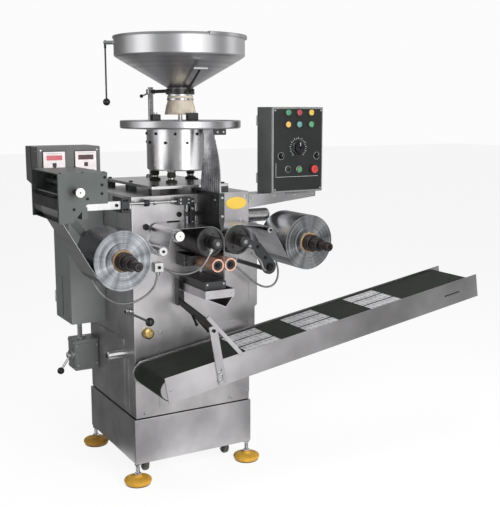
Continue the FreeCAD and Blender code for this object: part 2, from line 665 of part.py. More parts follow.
def hanging_rod():
    # Made about its own pivot along X, then turned and moved to the rim.
    start = V(-HANG_EYE_T / 2, 0, 0)
    eye = Part.makeCylinder(HANG_EYE_R, HANG_EYE_T, start, X_AXIS)
    stem = lever_rod(V(0, 0, 2 - HANG_EYE_R), V(0, 0, -HANG_L), HANG_ROD_R, HANG_BALL_R)
    bore = Part.makeCylinder(HANG_PIN_R + SHAFT_FIT, HANG_EYE_T, start, X_AXIS)
    hanger = fused(eye, stem).cut(bore)
    way = heading(HANG_HEADING - 270)
    hanger.rotate(V(0, 0, 0), Z_AXIS, math.degrees(math.atan2(way.y, way.x)))
    hanger.translate(V(FEEDER_X, FEEDER_Y, HANG_Z) + way * (RIM_R + HANG_OUT))
    return hanger


def track_section(x, y, z):
    corners = [V(x - TRACK_W / 2, y - TRACK_D / 2, z), V(x + TRACK_W / 2, y - TRACK_D / 2, z),
               V(x + TRACK_W / 2, y + TRACK_D / 2, z), V(x - TRACK_W / 2, y + TRACK_D / 2, z)]
    return Part.makePolygon(corners + corners[:1])


def feed_track(lane):
    top_x = TRACK_TOP_X + TRACK_TOP_PITCH * lane
    foot_y = FEED_LANE_FRONT + FEED_LANE_PITCH * (LANES - 1 - lane)
    top_z = DISC_BOTTOM - GAP
    foot_z = BLOCK_TOP + GAP
    sections = []
    for k in range(TRACK_SECTIONS):
        t = k / (TRACK_SECTIONS - 1)
        ease = t * t * (3 - 2 * t)
        x = top_x + (NIP_X - top_x) * ease
        y = TRACK_TOP_Y + (foot_y - TRACK_TOP_Y) * ease - TRACK_BOW * math.sin(math.pi * t) * (1 - t)
        sections.append(track_section(x, y, top_z + (foot_z - top_z) * t))
    return Part.makeLoft(sections, True, False)


def feed_block():
    outline = [V(NIP_X - BLOCK_HALF, 0, BLOCK_TOP), V(NIP_X - BLOCK_HALF, 0, BLOCK_WAIST),
               V(NIP_X - TIP_HALF, 0, BLOCK_TIP), V(NIP_X + TIP_HALF, 0, BLOCK_TIP),
               V(NIP_X + BLOCK_HALF, 0, BLOCK_WAIST), V(NIP_X + BLOCK_HALF, 0, BLOCK_TOP)]
    body = plate_xz(outline, FEED_FRONT, FRONT)
    grooves = []
    for lane in range(LANES):
        y = FEED_LANE_FRONT + FEED_LANE_PITCH * lane
        for side in (-1, 1):
            x = NIP_X + side * BLOCK_HALF
            grooves.append(box(x - GROOVE_DEPTH, x + GROOVE_DEPTH, y - GROOVE_W / 2, y + GROOVE_W / 2,
                               BLOCK_WAIST + 8, BLOCK_TOP - 10))
    return body.cut(Part.makeCompound(grooves))


def recessed_face(centre, radius):
    ring = rod_y(centre, ROLLER_FRONT, ROLLER_FRONT + HUB_RECESS, radius - HUB_RIM_T)
    return ring.cut(rod_y(centre, ROLLER_FRONT, ROLLER_FRONT + HUB_RECESS, HUB_CORE_R))


def seal_roller(centre):
    barrel = rod_y(centre, ROLLER_FRONT, ROLLER_BACK, SEAL_R).cut(recessed_face(centre, SEAL_R))
    stub_front = RING_FRONT + RING_CAP + GAP
    return fused(barrel, rod_y(centre, ROLLER_BACK, FRONT - GAP, SHAFT_R),
                 rod_y(centre, stub_front, ROLLER_FRONT, STUB_R))


def pull_roller(centre):
    barrel = rod_y(centre, ROLLER_FRONT, ROLLER_BACK, PULL_R)
    recess = rod_y(centre, ROLLER_FRONT, ROLLER_FRONT + 3, PULL_R - 6)
    bolt = rod_y(centre, ROLLER_FRONT - 6, ROLLER_FRONT + 3, 7)
    return fused(barrel.cut(recess), rod_y(centre, ROLLER_BACK, FRONT - GAP, SHAFT_R), bolt)


def bearing(centre, radius):
    flange = rod_y(centre, FRONT - FLANGE_T, FRONT, radius)
    return flange.cut(rod_y(centre, FRONT - FLANGE_T, FRONT, SHAFT_R + SHAFT_FIT))


def slip_ring(centre, back, fitting_way):
    bore = rod_y(centre, RING_FRONT + RING_CAP, back, STUB_R + SHAFT_FIT)
    body = rod_y(centre, RING_FRONT, back, RING_R)
    middle = at_y(centre, (RING_FRONT + back) / 2)
    fitting = rod(middle + fitting_way * (RING_R - 3), middle + fitting_way * (RING_R + FITTING_L), FITTING_R)
    return fused(body, fitting).cut(bore)


def roller_arm():
    eye = rod_y(RIGHT_SEAL, ARM_FRONT, ARM_BACK, ARM_EYE_R)
    elbow = rod_y(ARM_ELBOW, ARM_FRONT, ARM_BACK, ARM_ELBOW_R)
    boss = rod_y(ARM_BOSS, ARM_FRONT, ARM_BACK, ARM_BOSS_R)
    pieces = [elbow, boss, link(RIGHT_SEAL, ARM_EYE_R - 6, ARM_ELBOW, ARM_ELBOW_R - 2),
              link(ARM_ELBOW, ARM_ELBOW_R, ARM_BOSS, ARM_BOSS_R),
              rod_y(ARM_SHAFT, ARM_BACK - 1, FRONT, ARM_SHAFT_R)]
    bore = rod_y(RIGHT_SEAL, ARM_FRONT, ARM_BACK, STUB_R + SHAFT_FIT)
    return fused(eye, *pieces).cut(bore)


def link(start, start_r, end, end_r):
    way = end - start
    side = V(-way.z, 0, way.x).normalize()
    corners = [start + side * start_r, end + side * end_r, end - side * end_r, start - side * start_r]
    return plate_xz(corners, ARM_FRONT, ARM_BACK)


def guide_rollers():
    rollers = []
    for centre, radius in ((LOWER_GUIDE, LOWER_GUIDE_R), (LEFT_GUIDE, LEFT_GUIDE_R),
                           (RIGHT_GUIDE, RIGHT_GUIDE_R)):
        shaft = min(GUIDE_SHAFT_R, radius - 4)
        rollers.append(fused(rod_y(centre, FOIL_FRONT, ROLLER_BACK, radius),
                             rod_y(centre, ROLLER_BACK, FRONT, shaft)))
    knob = rod_y(LEFT_GUIDE, FOIL_FRONT - GUIDE_KNOB_L, FOIL_FRONT, GUIDE_KNOB_R)
    rollers[1] = fused(rollers[1], knob)
    return rollers


def foil_reel(centre):
    winding = rod_y(centre, REEL_FRONT, REEL_BACK, REEL_R)
    front = REEL_FRONT
    steps = []
    for radius, length in HUB_STEPS:
        steps.append(rod_y(centre, front - length, front, radius))
        front -= length
    spindle = rod_y(centre, REEL_BACK, REEL_ARM_FRONT + REEL_ARM_T - 6, SPINDLE_R)
    return fused(winding, *steps, spindle)


def reel_arm(centre, wall):
    back = REEL_ARM_FRONT + REEL_ARM_T
    z0 = centre.z - REEL_ARM_H / 2
    z1 = centre.z + REEL_ARM_H / 2
    beam = box(min(centre.x, wall), max(centre.x, wall), REEL_ARM_FRONT, back, z0, z1)
    boss = rod_y(centre, REEL_ARM_FRONT, back, REEL_BOSS_R)
    bore = rod_y(centre, REEL_ARM_FRONT, back - 6 + GAP, SPINDLE_R + SHAFT_FIT)
    return fused(beam, boss).cut(bore)


def tangent(start, start_r, start_turn, end, end_r, end_turn):
    way = end - start
    lean = math.asin((end_turn * end_r - start_turn * start_r) / way.Length)
    angle = math.atan2(way.z, way.x) - lean
    normal = V(-math.sin(angle), 0, math.cos(angle))
    return start - normal * (start_turn * start_r), end - normal * (end_turn * end_r)


def foil_side(stops, tail, offset):
    # One side of the foil: straight runs that touch each roller, arcs round them.
    spots = [(c, r + GAP + FOIL_T / 2 - turn * offset, turn) for c, r, turn in stops]
    runs = [tangent(a[0], a[1], a[2], b[0], b[1], b[2]) for a, b in zip(spots, spots[1:])]
    if tail is not None:
        centre, radius, turn = spots[-1]
        side = V(-turn * radius * tail.x, 0, -turn * radius * tail.z)
        leave = centre + V(-side.z, 0, side.x)
        runs.append((leave, leave + tail * tail_length(leave)))
    edges = []
    for k, (a, b) in enumerate(runs):
        edges.append(Part.LineSegment(a, b).toShape())
        if k + 1 < len(runs):
            centre, radius, turn = spots[k + 1]
            c = runs[k + 1][0]
            mid = ((b - centre) + (c - centre)).normalize() * radius + centre
            edges.append(Part.Arc(b, mid, c).toShape())
    return edges, runs[0][0], runs[-1][1]


def tail_length(leave):
    return leave.z - FOIL_END_Z


def foil(stops, tail=None):
    left_edges, left_start, left_end = foil_side(stops, tail, FOIL_T / 2)
    right_edges, right_start, right_end = foil_side(stops, tail, -FOIL_T / 2)
    caps = [Part.LineSegment(left_start, right_start).toShape(),
            Part.LineSegment(left_end, right_end).toShape()]
    edges = Part.__sortEdges__(left_edges + caps + right_edges)
    face = Part.Face(Part.Wire(edges))
    sheet = face.extrude(V(0, FOIL_BACK - FOIL_FRONT, 0))
    sheet.translate(V(0, FOIL_FRONT, 0))
    return sheet


def left_foil():
    down = V(0, 0, -1)
    to_nip = foil([(LEFT_REEL, REEL_R, -1), (LOWER_GUIDE, LOWER_GUIDE_R, 1),
                   (LEFT_GUIDE, LEFT_GUIDE_R, -1), (LEFT_SEAL, SEAL_R, -1)], down)
    to_unit = foil([(LEFT_REEL, REEL_R, -1), (PRINT_ROLLER, PRINT_ROLLER_R, -1),
                    (INK_ROLLER, INK_ROLLER_R, 1)])
    return [to_nip, to_unit]


def right_foil():
    return foil([(RIGHT_REEL, REEL_R, -1), (RIGHT_GUIDE, RIGHT_GUIDE_R, 1),
                 (RIGHT_SEAL, SEAL_R, 1)], V(0, 0, -1))


def printing_frame():
    front = plate_xz(UNIT_OUTLINE, UNIT_FRONT, UNIT_FRONT + UNIT_PLATE_T)
    back = plate_xz(UNIT_OUTLINE, UNIT_BACK - UNIT_PLATE_T, UNIT_BACK)
    top = UNIT_OUTLINE[0]
    cover = box(top.x, UNIT_OUTLINE[1].x, UNIT_FRONT, UNIT_BACK, top.z, top.z + SHEET)
    left, right, low, high = UNIT_TIE
    tie = box(left, right, UNIT_FRONT, UNIT_BACK, low, high)
    swing_back = SWING_FRONT + SWING_T
    swing = flat_bar(V((left + right) / 2, 0, low + 12), SWING_ROLLER, SWING_W, SWING_FRONT, swing_back)
    swing_end = rod_y(SWING_ROLLER, SWING_FRONT, swing_back, SWING_W / 2)
    return fused(front, back, cover, tie, swing, swing_end)


def printing_rollers():
    front = UNIT_FRONT + UNIT_PLATE_T
    back = UNIT_BACK - UNIT_PLATE_T
    rollers = [rod_y(PRINT_ROLLER, front, back, PRINT_ROLLER_R),
               rod_y(INK_ROLLER, front, back, INK_ROLLER_R),
               rod_y(TURN_ROLLER, front, back, TURN_ROLLER_R)]
    shaft = rod_y(UNIT_KNOB, UNIT_FRONT - UNIT_KNOB_REACH, UNIT_FRONT, 11)
    knob = rod_y(UNIT_KNOB, UNIT_FRONT - UNIT_KNOB_REACH - 10, UNIT_FRONT - UNIT_KNOB_REACH, UNIT_KNOB_R)
    swing_back = SWING_FRONT + SWING_T
    swing = rod_y(SWING_ROLLER, swing_back, swing_back + SWING_ROLLER_L, SWING_ROLLER_R)
    return rollers + [fused(shaft, knob), swing]


def support_arms():
    left, right, low, high = UNIT_TIE
    bar = box(right, CLAMP_RIGHT, BAR_FRONT, BAR_FRONT + BAR_T, BAR_Z - BAR_H / 2, BAR_Z + BAR_H / 2)
    clamp = box(CLAMP_LEFT, CLAMP_RIGHT, CLAMP_FRONT, CLAMP_BACK, BAR_Z - CLAMP_H / 2, BAR_Z + CLAMP_H / 2)
    root = box(CLAMP_RIGHT, LEFT, FRONT, CLAMP_BACK, BAR_Z - CLAMP_H / 2 + 6, BAR_Z + CLAMP_H / 2 - 40)
    return [fused(bar, clamp, root), reel_arm(LEFT_REEL, LEFT), reel_arm(RIGHT_REEL, RIGHT + SIDE_BOX_T)]


def register_shaft():
    line = V(0, REGISTER_Y, BAR_Z)
    shaft = rod(line + V(CLAMP_RIGHT, 0, 0), line + V(REGISTER_RIGHT, 0, 0), REGISTER_R)
    knob = rod(line + V(REGISTER_KNOB_X - 10, 0, 0), line + V(REGISTER_KNOB_X + 10, 0, 0), REGISTER_KNOB_R)
    block = box(BLOCK_LEFT, BLOCK_RIGHT, REGISTER_Y - 14, FRONT, BAR_Z - BLOCK_H / 2, BAR_Z + BLOCK_H / 2)
    half = CLAMP_BLOCK_SIDE / 2
    c = CLAMP_BLOCK
    clamp = box(c.x - half, c.x + half, c.y - half, c.y + half, c.z - half, c.z + half)
    carrier = rod_y(c, c.y + half, FRONT, CLAMP_ROD_R)
    return [fused(shaft, knob, block), fused(clamp, carrier)]


def cutter_box():
    floor = TRAY_BOTTOM + SHEET
    return box(CUTTER_LEFT, CUTTER_RIGHT, CUTTER_FRONT, FRONT, floor, CUTTER_TOP)


def delivery_tray():
    top = TRAY_BOTTOM + TRAY_H
    outer = box(TRAY_LEFT, TRAY_RIGHT, TRAY_FRONT, FRONT, TRAY_BOTTOM, top)
    inner = box(TRAY_LEFT + SHEET, TRAY_RIGHT - SHEET, TRAY_FRONT + SHEET, FRONT, TRAY_BOTTOM + SHEET, top)
    slot = box(CUTTER_RIGHT, TRAY_SLOT_RIGHT, CUTTER_FRONT, FRONT - 8, TRAY_BOTTOM, TRAY_BOTTOM + SHEET)
    left = chute_wall(TRAY_LEFT + CHUTE_INSET)
    right = chute_wall(TRAY_RIGHT - CHUTE_INSET)
    return fused(outer.cut(inner).cut(slot), left, right)


def chute_wall(x):
    lean = SHEET if x > CHUTE_X else -SHEET
    outline = [V(x, 0, TRAY_BOTTOM), V(CHUTE_X, 0, CHUTE_TIP_Z), V(CHUTE_X, 0, CHUTE_TIP_Z + SHEET + 1),
               V(x - lean * 1.6, 0, TRAY_BOTTOM)]
    return plate_xz(outline, TRAY_FRONT, FRONT)


def tilt(shape):
    shape.rotate(V(CONVEYOR_X, 0, CONVEYOR_Z), Y_AXIS, -CONVEYOR_ANGLE)
    return shape


def conveyor_place(s, y, up):
    return V(CONVEYOR_X + s, y, CONVEYOR_Z + up)


def conveyor_sides():
    near = box(CONVEYOR_X, CONVEYOR_X + CONVEYOR_L, CONVEYOR_FRONT, CONVEYOR_FRONT + SHEET,
               CONVEYOR_Z - CONVEYOR_H, CONVEYOR_Z)
    far = box(CONVEYOR_X, CONVEYOR_X + CONVEYOR_L, CONVEYOR_BACK - SHEET, CONVEYOR_BACK,
              CONVEYOR_Z - CONVEYOR_H, CONVEYOR_Z)
    nose_r = DRUM_BELT_R + BELT_T + 8
    nose = Part.makeCylinder(nose_r, SHEET, conveyor_place(HEAD_DRUM, CONVEYOR_BACK - SHEET, belt_axis()), Y_AXIS)
    return [tilt(near), tilt(fused(far, nose))]


def belt_axis():
    return -BELT_DROP - BELT_T - DRUM_BELT_R


def racetrack(radius):
    axis = belt_axis()
    depth = CONVEYOR_BACK - CONVEYOR_FRONT - 2 * SHEET - 2 * BELT_SIDE_GAP
    y0 = CONVEYOR_FRONT + SHEET + BELT_SIDE_GAP
    middle = box(CONVEYOR_X + HEAD_DRUM, CONVEYOR_X + TAIL_DRUM, y0, y0 + depth,
                 CONVEYOR_Z + axis - radius, CONVEYOR_Z + axis + radius)
    ends = [Part.makeCylinder(radius, depth, conveyor_place(s, y0, axis), Y_AXIS)
            for s in (HEAD_DRUM, TAIL_DRUM)]
    return fused(middle, *ends)


def conveyor_belt():
    return tilt(racetrack(DRUM_BELT_R + BELT_T).cut(racetrack(DRUM_BELT_R)))


def conveyor_bed():
    axis = belt_axis()
    y0 = CONVEYOR_FRONT + SHEET
    y1 = CONVEYOR_BACK - SHEET
    drums = [tilt(Part.makeCylinder(DRUM_BELT_R - GAP, y1 - y0, conveyor_place(s, y0, axis), Y_AXIS))
             for s in (HEAD_DRUM, TAIL_DRUM)]
    top = CONVEYOR_Z + axis + DRUM_BELT_R - GAP
    low = CONVEYOR_Z + axis - DRUM_BELT_R + 14
    outer = box(CONVEYOR_X + HEAD_DRUM + 60, CONVEYOR_X + TAIL_DRUM - 60, y0, y1, low, top)
    inner = box(CONVEYOR_X + HEAD_DRUM + 60, CONVEYOR_X + TAIL_DRUM - 60, y0 + BED_RAIL, y1 - BED_RAIL,
                low, top - SHEET)
    return drums + [tilt(outer.cut(inner))]


def conveyor_standoffs():
    brackets = []
    for x in STANDOFFS:
        s = (x - CONVEYOR_X) / math.cos(math.radians(CONVEYOR_ANGLE))
        z = CONVEYOR_Z + s * math.sin(math.radians(CONVEYOR_ANGLE)) - CONVEYOR_H / 2
        brackets.append(rod(V(x, CONVEYOR_BACK, z), V(x, FRONT - COVER_T, z), STANDOFF_R))
    return brackets


def foil_strips():
    top = CONVEYOR_Z - BELT_DROP
    strips = []
    for s in STRIP_GROUPS:
        for row in range(STRIP_ROWS):
            y = CONVEYOR_FRONT + SHEET + 3 + STRIP_PITCH * row
            strips.append(tilt(box(CONVEYOR_X + s, CONVEYOR_X + s + STRIP_L, y, y + STRIP_W, top, top + STRIP_T)))
    return strips


def flat_bar(start, end, width, y0, y1):
    way = end - start
    side = V(-way.z, 0, way.x).normalize() * (width / 2)
    return plate_xz([start + side, end + side, end - side, start - side], y0, y1)


def upright_section(centre, y, height):
    half_t = HANGER_T / 2
    half_h = height / 2
    corners = [V(centre.x - half_t, y, centre.z - half_h), V(centre.x + half_t, y, centre.z - half_h),
               V(centre.x + half_t, y, centre.z + half_h), V(centre.x - half_t, y, centre.z + half_h)]
    return Part.makePolygon(corners + corners[:1])


def conveyor_hanger():
    root = upright_section(HANGER_ROOT, FRONT, HANGER_ROOT_H)
    end = upright_section(HANGER_END, CONVEYOR_FRONT, HANGER_END_H)
    bar = Part.makeLoft([root, end], True, True)
    plate_y = CONVEYOR_FRONT - SLOT_BAR_T
    top = V(HANGER_END.x, 0, HANGER_END.z + 8)
    slot_bar = flat_bar(top, SLOT_BAR_FOOT, SLOT_BAR_W, plate_y, CONVEYOR_FRONT)
    slot = flat_bar(top + (SLOT_BAR_FOOT - top) * 0.74, top + (SLOT_BAR_FOOT - top) * 0.94, SLOT_W,
                    plate_y, CONVEYOR_FRONT)
    slant = flat_bar(SLANT_TOP, SLANT_FOOT, SLANT_W, plate_y, CONVEYOR_FRONT)
    bracket = plate_xz(BRACKET_OUTLINE, FRONT - BRACKET_T, FRONT)
    left = BRACKET_OUTLINE[0].x
    flange = box(left, left + BRACKET_T, FRONT - FLANGE_D, FRONT, BRACKET_OUTLINE[-1].z, BRACKET_OUTLINE[0].z)
    return fused(bar, slot_bar.cut(slot), slant, bracket, flange)


def electrical_box():
    return box(EBOX_LEFT, LEFT, EBOX_FRONT, EBOX_BACK, EBOX_BOTTOM, EBOX_TOP)


def temperature_box():
    outline = [V(TBOX_LEFT, 0, TBOX_TOP), V(TBOX_RIGHT, 0, TBOX_TOP), V(TBOX_RIGHT, 0, EBOX_TOP),
               V(TBOX_LEFT + TBOX_CHAMFER, 0, EBOX_TOP), V(TBOX_LEFT, 0, EBOX_TOP + TBOX_CHAMFER)]
    return plate_xz(outline, EBOX_FRONT, EBOX_FRONT + TBOX_D)


def temperature_controllers():
    half_w = CONTROLLER_W / 2
    half_h = CONTROLLER_H / 2
    return [box(x - half_w, x + half_w, EBOX_FRONT - CONTROLLER_T, EBOX_FRONT,
                CONTROLLER_Z - half_h, CONTROLLER_Z + half_h) for x in CONTROLLER_X]


def gearbox_housing():
    body = box(GEAR_LEFT, LEFT, GEAR_FRONT, GEAR_BACK, GEAR_BOTTOM, GEAR_TOP)
    boss = Part.makeCylinder(GEAR_BOSS_R, GEAR_BOSS_L, V(GEAR_LEFT - GEAR_BOSS_L, CRANK_Y, CRANK_Z), X_AXIS)
    reach = GEAR_BOSS_L + CRANK_HUB_L + 3
    pin = Part.makeCylinder(CRANK_PIN_R, reach, V(GEAR_LEFT - reach, CRANK_Y, CRANK_Z), X_AXIS)
    return fused(body, boss, pin)


def lever_rod(start, end, radius, ball_radius):
    way = end - start
    return fused(rod(start, end, radius), Part.makeSphere(ball_radius, end, way))


def crank_lever():
    face = GEAR_LEFT - GEAR_BOSS_L - GAP
    end = V(face - CRANK_HUB_L, CRANK_Y, CRANK_Z)
    hub = Part.makeCylinder(CRANK_HUB_R, CRANK_HUB_L, end, X_AXIS)
    start = V(face - CRANK_HUB_L / 2, CRANK_Y - 1, CRANK_Z - CRANK_HUB_R + 4)
    lever = fused(hub, lever_rod(start, CRANK_BALL, CRANK_ROD_R, CRANK_BALL_R))
    return lever.cut(Part.makeCylinder(CRANK_PIN_R + SHAFT_FIT, CRANK_HUB_L, end, X_AXIS))


def clutch_lever():
    face = LEFT - CLUTCH_BOSS_L - GAP
    hub = Part.makeCylinder(CLUTCH_HUB_R, CLUTCH_HUB_L, V(face - CLUTCH_HUB_L, CLUTCH_Y, CLUTCH_Z), X_AXIS)
    start = V(face - CLUTCH_HUB_L / 2, CLUTCH_Y, CLUTCH_Z)
    end = V(start.x, FRONT + CLUTCH_BALL_R - CLUTCH_REACH + 13, CLUTCH_Z + 8)
    return fused(hub, lever_rod(start, end, CLUTCH_ROD_R, CLUTCH_BALL_R))


def control_box():
    body = box(CONTROL_LEFT, CONTROL_RIGHT, CONTROL_FRONT, CONTROL_FRONT + CONTROL_D,
               CONTROL_BOTTOM, CONTROL_TOP)
    upright = [e for e in body.Edges if abs(e.BoundBox.ZLength - (CONTROL_TOP - CONTROL_BOTTOM)) < 1]
    return body.makeFillet(CONTROL_EDGE, upright)


def control_arm():
    front = plate_xz([V(RIGHT, 0, CONTROL_ARM_ROOT_Z), V(RIGHT, 0, CONTROL_BOTTOM),
                      V(CONTROL_ARM_END, 0, CONTROL_BOTTOM), V(CONTROL_ARM_END, 0, CONTROL_ARM_TIP_Z)],
                     FRONT, FRONT + SHEET)
    back = front.copy()
    back.translate(V(0, CONTROL_ARM_D - SHEET, 0))
    top = box(RIGHT, CONTROL_ARM_END, FRONT, FRONT + CONTROL_ARM_D, CONTROL_BOTTOM - SHEET, CONTROL_BOTTOM)
    return fused(front, back, top)


def button(centre, radius, height):
    return rod_y(centre, CONTROL_FRONT - height, CONTROL_FRONT, radius)


def panel_controls():
    pieces = [button(V(x, 0, z), LAMP_R, LAMP_H) for z in LAMP_ROWS for x in LAMP_COLUMNS]
    pieces += [button(c, POT_R, POT_H) for c in POTS]
    pieces += [button(c, BUTTON_R, BUTTON_H) for c in BUTTONS]
    stop = fused(button(STOP_BUTTON, STOP_R - 8, STOP_H),
                 rod_y(STOP_BUTTON, CONTROL_FRONT - STOP_H, CONTROL_FRONT - STOP_H + 10, STOP_R))
    pin = button(DIAL, 5, DIAL_H - 4)
    return pieces + [stop, pin]


def speed_knob():
    front = CONTROL_FRONT - DIAL_H
    skirt = rod_y(DIAL, CONTROL_FRONT - 7, CONTROL_FRONT - GAP, DIAL_R)
    grip = rod_y(DIAL, front, CONTROL_FRONT - 7, DIAL_R - 10)
    bore = rod_y(DIAL, front + 3, CONTROL_FRONT, 5 + SHAFT_FIT)
    return fused(skirt, grip).cut(bore)


def conduit(points):
    # Straight runs joined by arcs that are as large as the two runs allow.
    trims = [0.0]
    radii = []
    for before, here, after in zip(points, points[1:], points[2:]):
        turn = (here - before).getAngle(after - here)
        run = min((here - before).Length, (after - here).Length)
        trims.append(0.45 * run)
        radii.append(0.45 * run / math.tan(turn / 2))
    trims.append(0.0)
    edges = []
    previous = points[0]
    for k in range(1, len(points) - 1):
        here = points[k]
        back = (points[k - 1] - here).normalize()
        ahead = (points[k + 1] - here).normalize()
        start = here + back * trims[k]
        end = here + ahead * trims[k]
        radius = radii[k - 1]
        bisector = (back + ahead).normalize()
        reach = math.hypot(trims[k], radius)
        middle = here + bisector * (reach - radius)
        edges.append(Part.LineSegment(previous, start).toShape())
        edges.append(Part.Arc(start, middle, end).toShape())
        previous = end
    edges.append(Part.LineSegment(previous, points[-1]).toShape())
    path = Part.Wire(edges)
    circle = Part.Wire(Part.makeCircle(CONDUIT_R, points[0], points[1] - points[0]))
    tube = path.makePipeShell([circle], True, True)
    expected = math.pi * CONDUIT_R ** 2 * path.Length
    print("conduit", round(path.Length), "mm, radii", [round(r) for r in radii],
          "volume share", round(tube.Volume / expected, 3))
    return tube


def main():
    os.makedirs("parts", exist_ok=True)
    save("plinth", plinth())
    corners = [(-1, -1), (1, -1), (-1, 1), (1, 1)]
    save("levelling_feet", *[levelling_foot(FOOT_X * i, FOOT_Y * j) for i, j in corners])
    save("caster_forks", *[caster_fork(CASTER_X * i, CASTER_Y * j) for i, j in corners])
    names = ("front_left", "front_right", "back_left", "back_right")
    for name, (i, j) in zip(names, corners):
        save("caster_wheel_" + name, caster_wheel(CASTER_X * i, CASTER_Y * j))
    save("cabinet_body", cabinet_body())
    save("cabinet_covers", *covers())
    save("brass_knob", brass_knob())
    save("feeder_plate", feeder_plate())
    save("feeder_drum", feeder_drum())
    save("bowl_disc", bowl_disc())
    save("disc_fittings", *disc_fittings())
    save("hopper", hopper())
    save("hopper_lid", hopper_lid())
    save("hopper_boot", hopper_boot())
    save("hopper_stand", hopper_stand())
    save("shutter_lever", shutter_lever())
    save("hanging_rod", hanging_rod())
    save("feed_tracks", *[feed_track(lane) for lane in range(LANES)])
    save("feed_block", feed_block())
    save("seal_roller_left", seal_roller(LEFT_SEAL))
    save("seal_roller_right", seal_roller(RIGHT_SEAL))
    save("pull_roller_left", pull_roller(LEFT_PULL))
    save("pull_roller_right", pull_roller(RIGHT_PULL))
    save("front_bearings", bearing(LEFT_SEAL, SEAL_FLANGE_R), bearing(RIGHT_SEAL, SEAL_FLANGE_R),
         bearing(LEFT_PULL, PULL_FLANGE_R), bearing(RIGHT_PULL, PULL_FLANGE_R))
    slant = V(-0.42, 0, -0.907)
    save("slip_rings",
         slip_ring(LEFT_SEAL, LEFT_RING_BACK, slant),
         slip_ring(RIGHT_SEAL, RIGHT_RING_BACK, V(0.82, 0, -0.572)))
    save("roller_arm", roller_arm())
    save("guide_rollers", *guide_rollers())
    save("left_reel", foil_reel(LEFT_REEL))
    save("right_reel", foil_reel(RIGHT_REEL))
    save("left_foil", *left_foil())
    save("right_foil", right_foil())
    save("printing_frame", printing_frame())
    save("printing_rollers", *printing_rollers())
    save("support_arms", *support_arms())
    save("register_shaft", *register_shaft())
    save("cutter_box", cutter_box())
    save("delivery_tray", delivery_tray())
    save("conveyor_sides", *conveyor_sides())
    save("conveyor_bed", *conveyor_bed())
    save("conveyor_belt", conveyor_belt())
    save("conveyor_standoffs", *conveyor_standoffs())
    save("conveyor_hanger", conveyor_hanger())
    save("foil_strips", *foil_strips())
    save("electrical_box", electrical_box())
    save("temperature_box", temperature_box())
    save("temperature_controllers", *temperature_controllers())
    save("gearbox_housing", gearbox_housing())
    save("crank_lever", crank_lever())
    save("clutch_lever", clutch_lever())
    save("control_box", control_box())
    save("control_arm", control_arm())
    save("panel_controls", *panel_controls())
    save("speed_knob", speed_knob())
    save("conduit_left_feed", conduit(CONDUIT_LEFT_FEED))
    save("conduit_left_loop", conduit(CONDUIT_LEFT_LOOP))
    save("conduit_right_loop", conduit(CONDUIT_RIGHT_LOOP))


main()
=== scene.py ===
"""A strip packing machine for tablets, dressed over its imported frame.

Sizes are in millimetres, as on the maker's drawing, in the frame's own place.
Each finished piece is brought to metres when it is put on its body.
"""

import logging
import math
import random
from dataclasses import dataclass
from enum import Enum
from typing import Callable, Iterable, Sequence

import bmesh
import bpy
from bmesh.types import BMesh, BMFace, BMVert
from bpy.types import Material, Node, NodeSocket, NodeTree, Object
from mathutils import Matrix, Vector

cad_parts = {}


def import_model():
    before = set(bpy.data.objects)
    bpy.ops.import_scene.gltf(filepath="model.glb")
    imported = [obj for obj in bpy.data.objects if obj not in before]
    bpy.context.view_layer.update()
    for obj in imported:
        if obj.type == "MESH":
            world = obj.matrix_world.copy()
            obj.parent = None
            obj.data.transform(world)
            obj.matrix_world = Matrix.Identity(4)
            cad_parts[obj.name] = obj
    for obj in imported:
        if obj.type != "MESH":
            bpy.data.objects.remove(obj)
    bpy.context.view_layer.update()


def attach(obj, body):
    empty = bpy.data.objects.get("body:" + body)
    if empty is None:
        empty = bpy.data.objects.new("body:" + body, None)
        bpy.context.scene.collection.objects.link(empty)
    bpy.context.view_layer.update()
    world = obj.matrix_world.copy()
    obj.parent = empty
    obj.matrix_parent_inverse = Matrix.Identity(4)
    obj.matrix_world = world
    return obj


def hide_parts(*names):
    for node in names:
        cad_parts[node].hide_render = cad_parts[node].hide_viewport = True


Place = tuple[float, float, float]
Flat = tuple[float, float]

log = logging.getLogger("strip_packing_machine")

MM = 0.001
# Only edges that turn by more than this many degrees are rounded.
SHARP_TURN = 28.0
LEFT_WAY: Place = (-1.0, 0.0, 0.0)
RIGHT_WAY: Place = (1.0, 0.0, 0.0)
FRONT_WAY: Place = (0.0, -1.0, 0.0)
BACK_WAY: Place = (0.0, 1.0, 0.0)
UP: Place = (0.0, 0.0, 1.0)
DOWN: Place = (0.0, 0.0, -1.0)


def linear(code: str) -> tuple[float, float, float, float]:
    """Turn an sRGB hex colour into the linear values that shaders take.

    Args:
        code: a colour such as "#B0B0B0".

    Returns:
        Linear red, green, blue and an alpha of 1.
    """
    parts = [int(code[i:i + 2], 16) / 255 for i in (1, 3, 5)]
    red, green, blue = (c / 12.92 if c <= 0.04045 else ((c + 0.055) / 1.055) ** 2.4 for c in parts)
    return red, green, blue, 1.0


def add(tree: NodeTree, kind: str, inputs: dict | None = None, **settings: object) -> Node:
    """Add one shader node with its settings, values and links.

    Args:
        tree: the node tree that gets the node.
        kind: the node's type without its "ShaderNode" front.
        inputs: values or sockets by input name or number.
        settings: plain attributes of the node.

    Returns:
        The new node.
    """
    node = tree.nodes.new("ShaderNode" + kind)
    for name, value in settings.items():
        setattr(node, name, value)
    for name, value in (inputs or {}).items():
        if isinstance(value, NodeSocket):
            tree.links.new(value, node.inputs[name])
        else:
            node.inputs[name].default_value = value
    return node


class Lines(Enum):
    """Which way the marks of a polishing belt run; each is a stretch of the pattern."""

    NONE = (1.0, 1.0, 1.0)
    UPRIGHT = (1.0, 1.0, 0.03)
    LEVEL = (0.03, 1.0, 1.0)
    DEEP = (1.0, 0.03, 1.0)


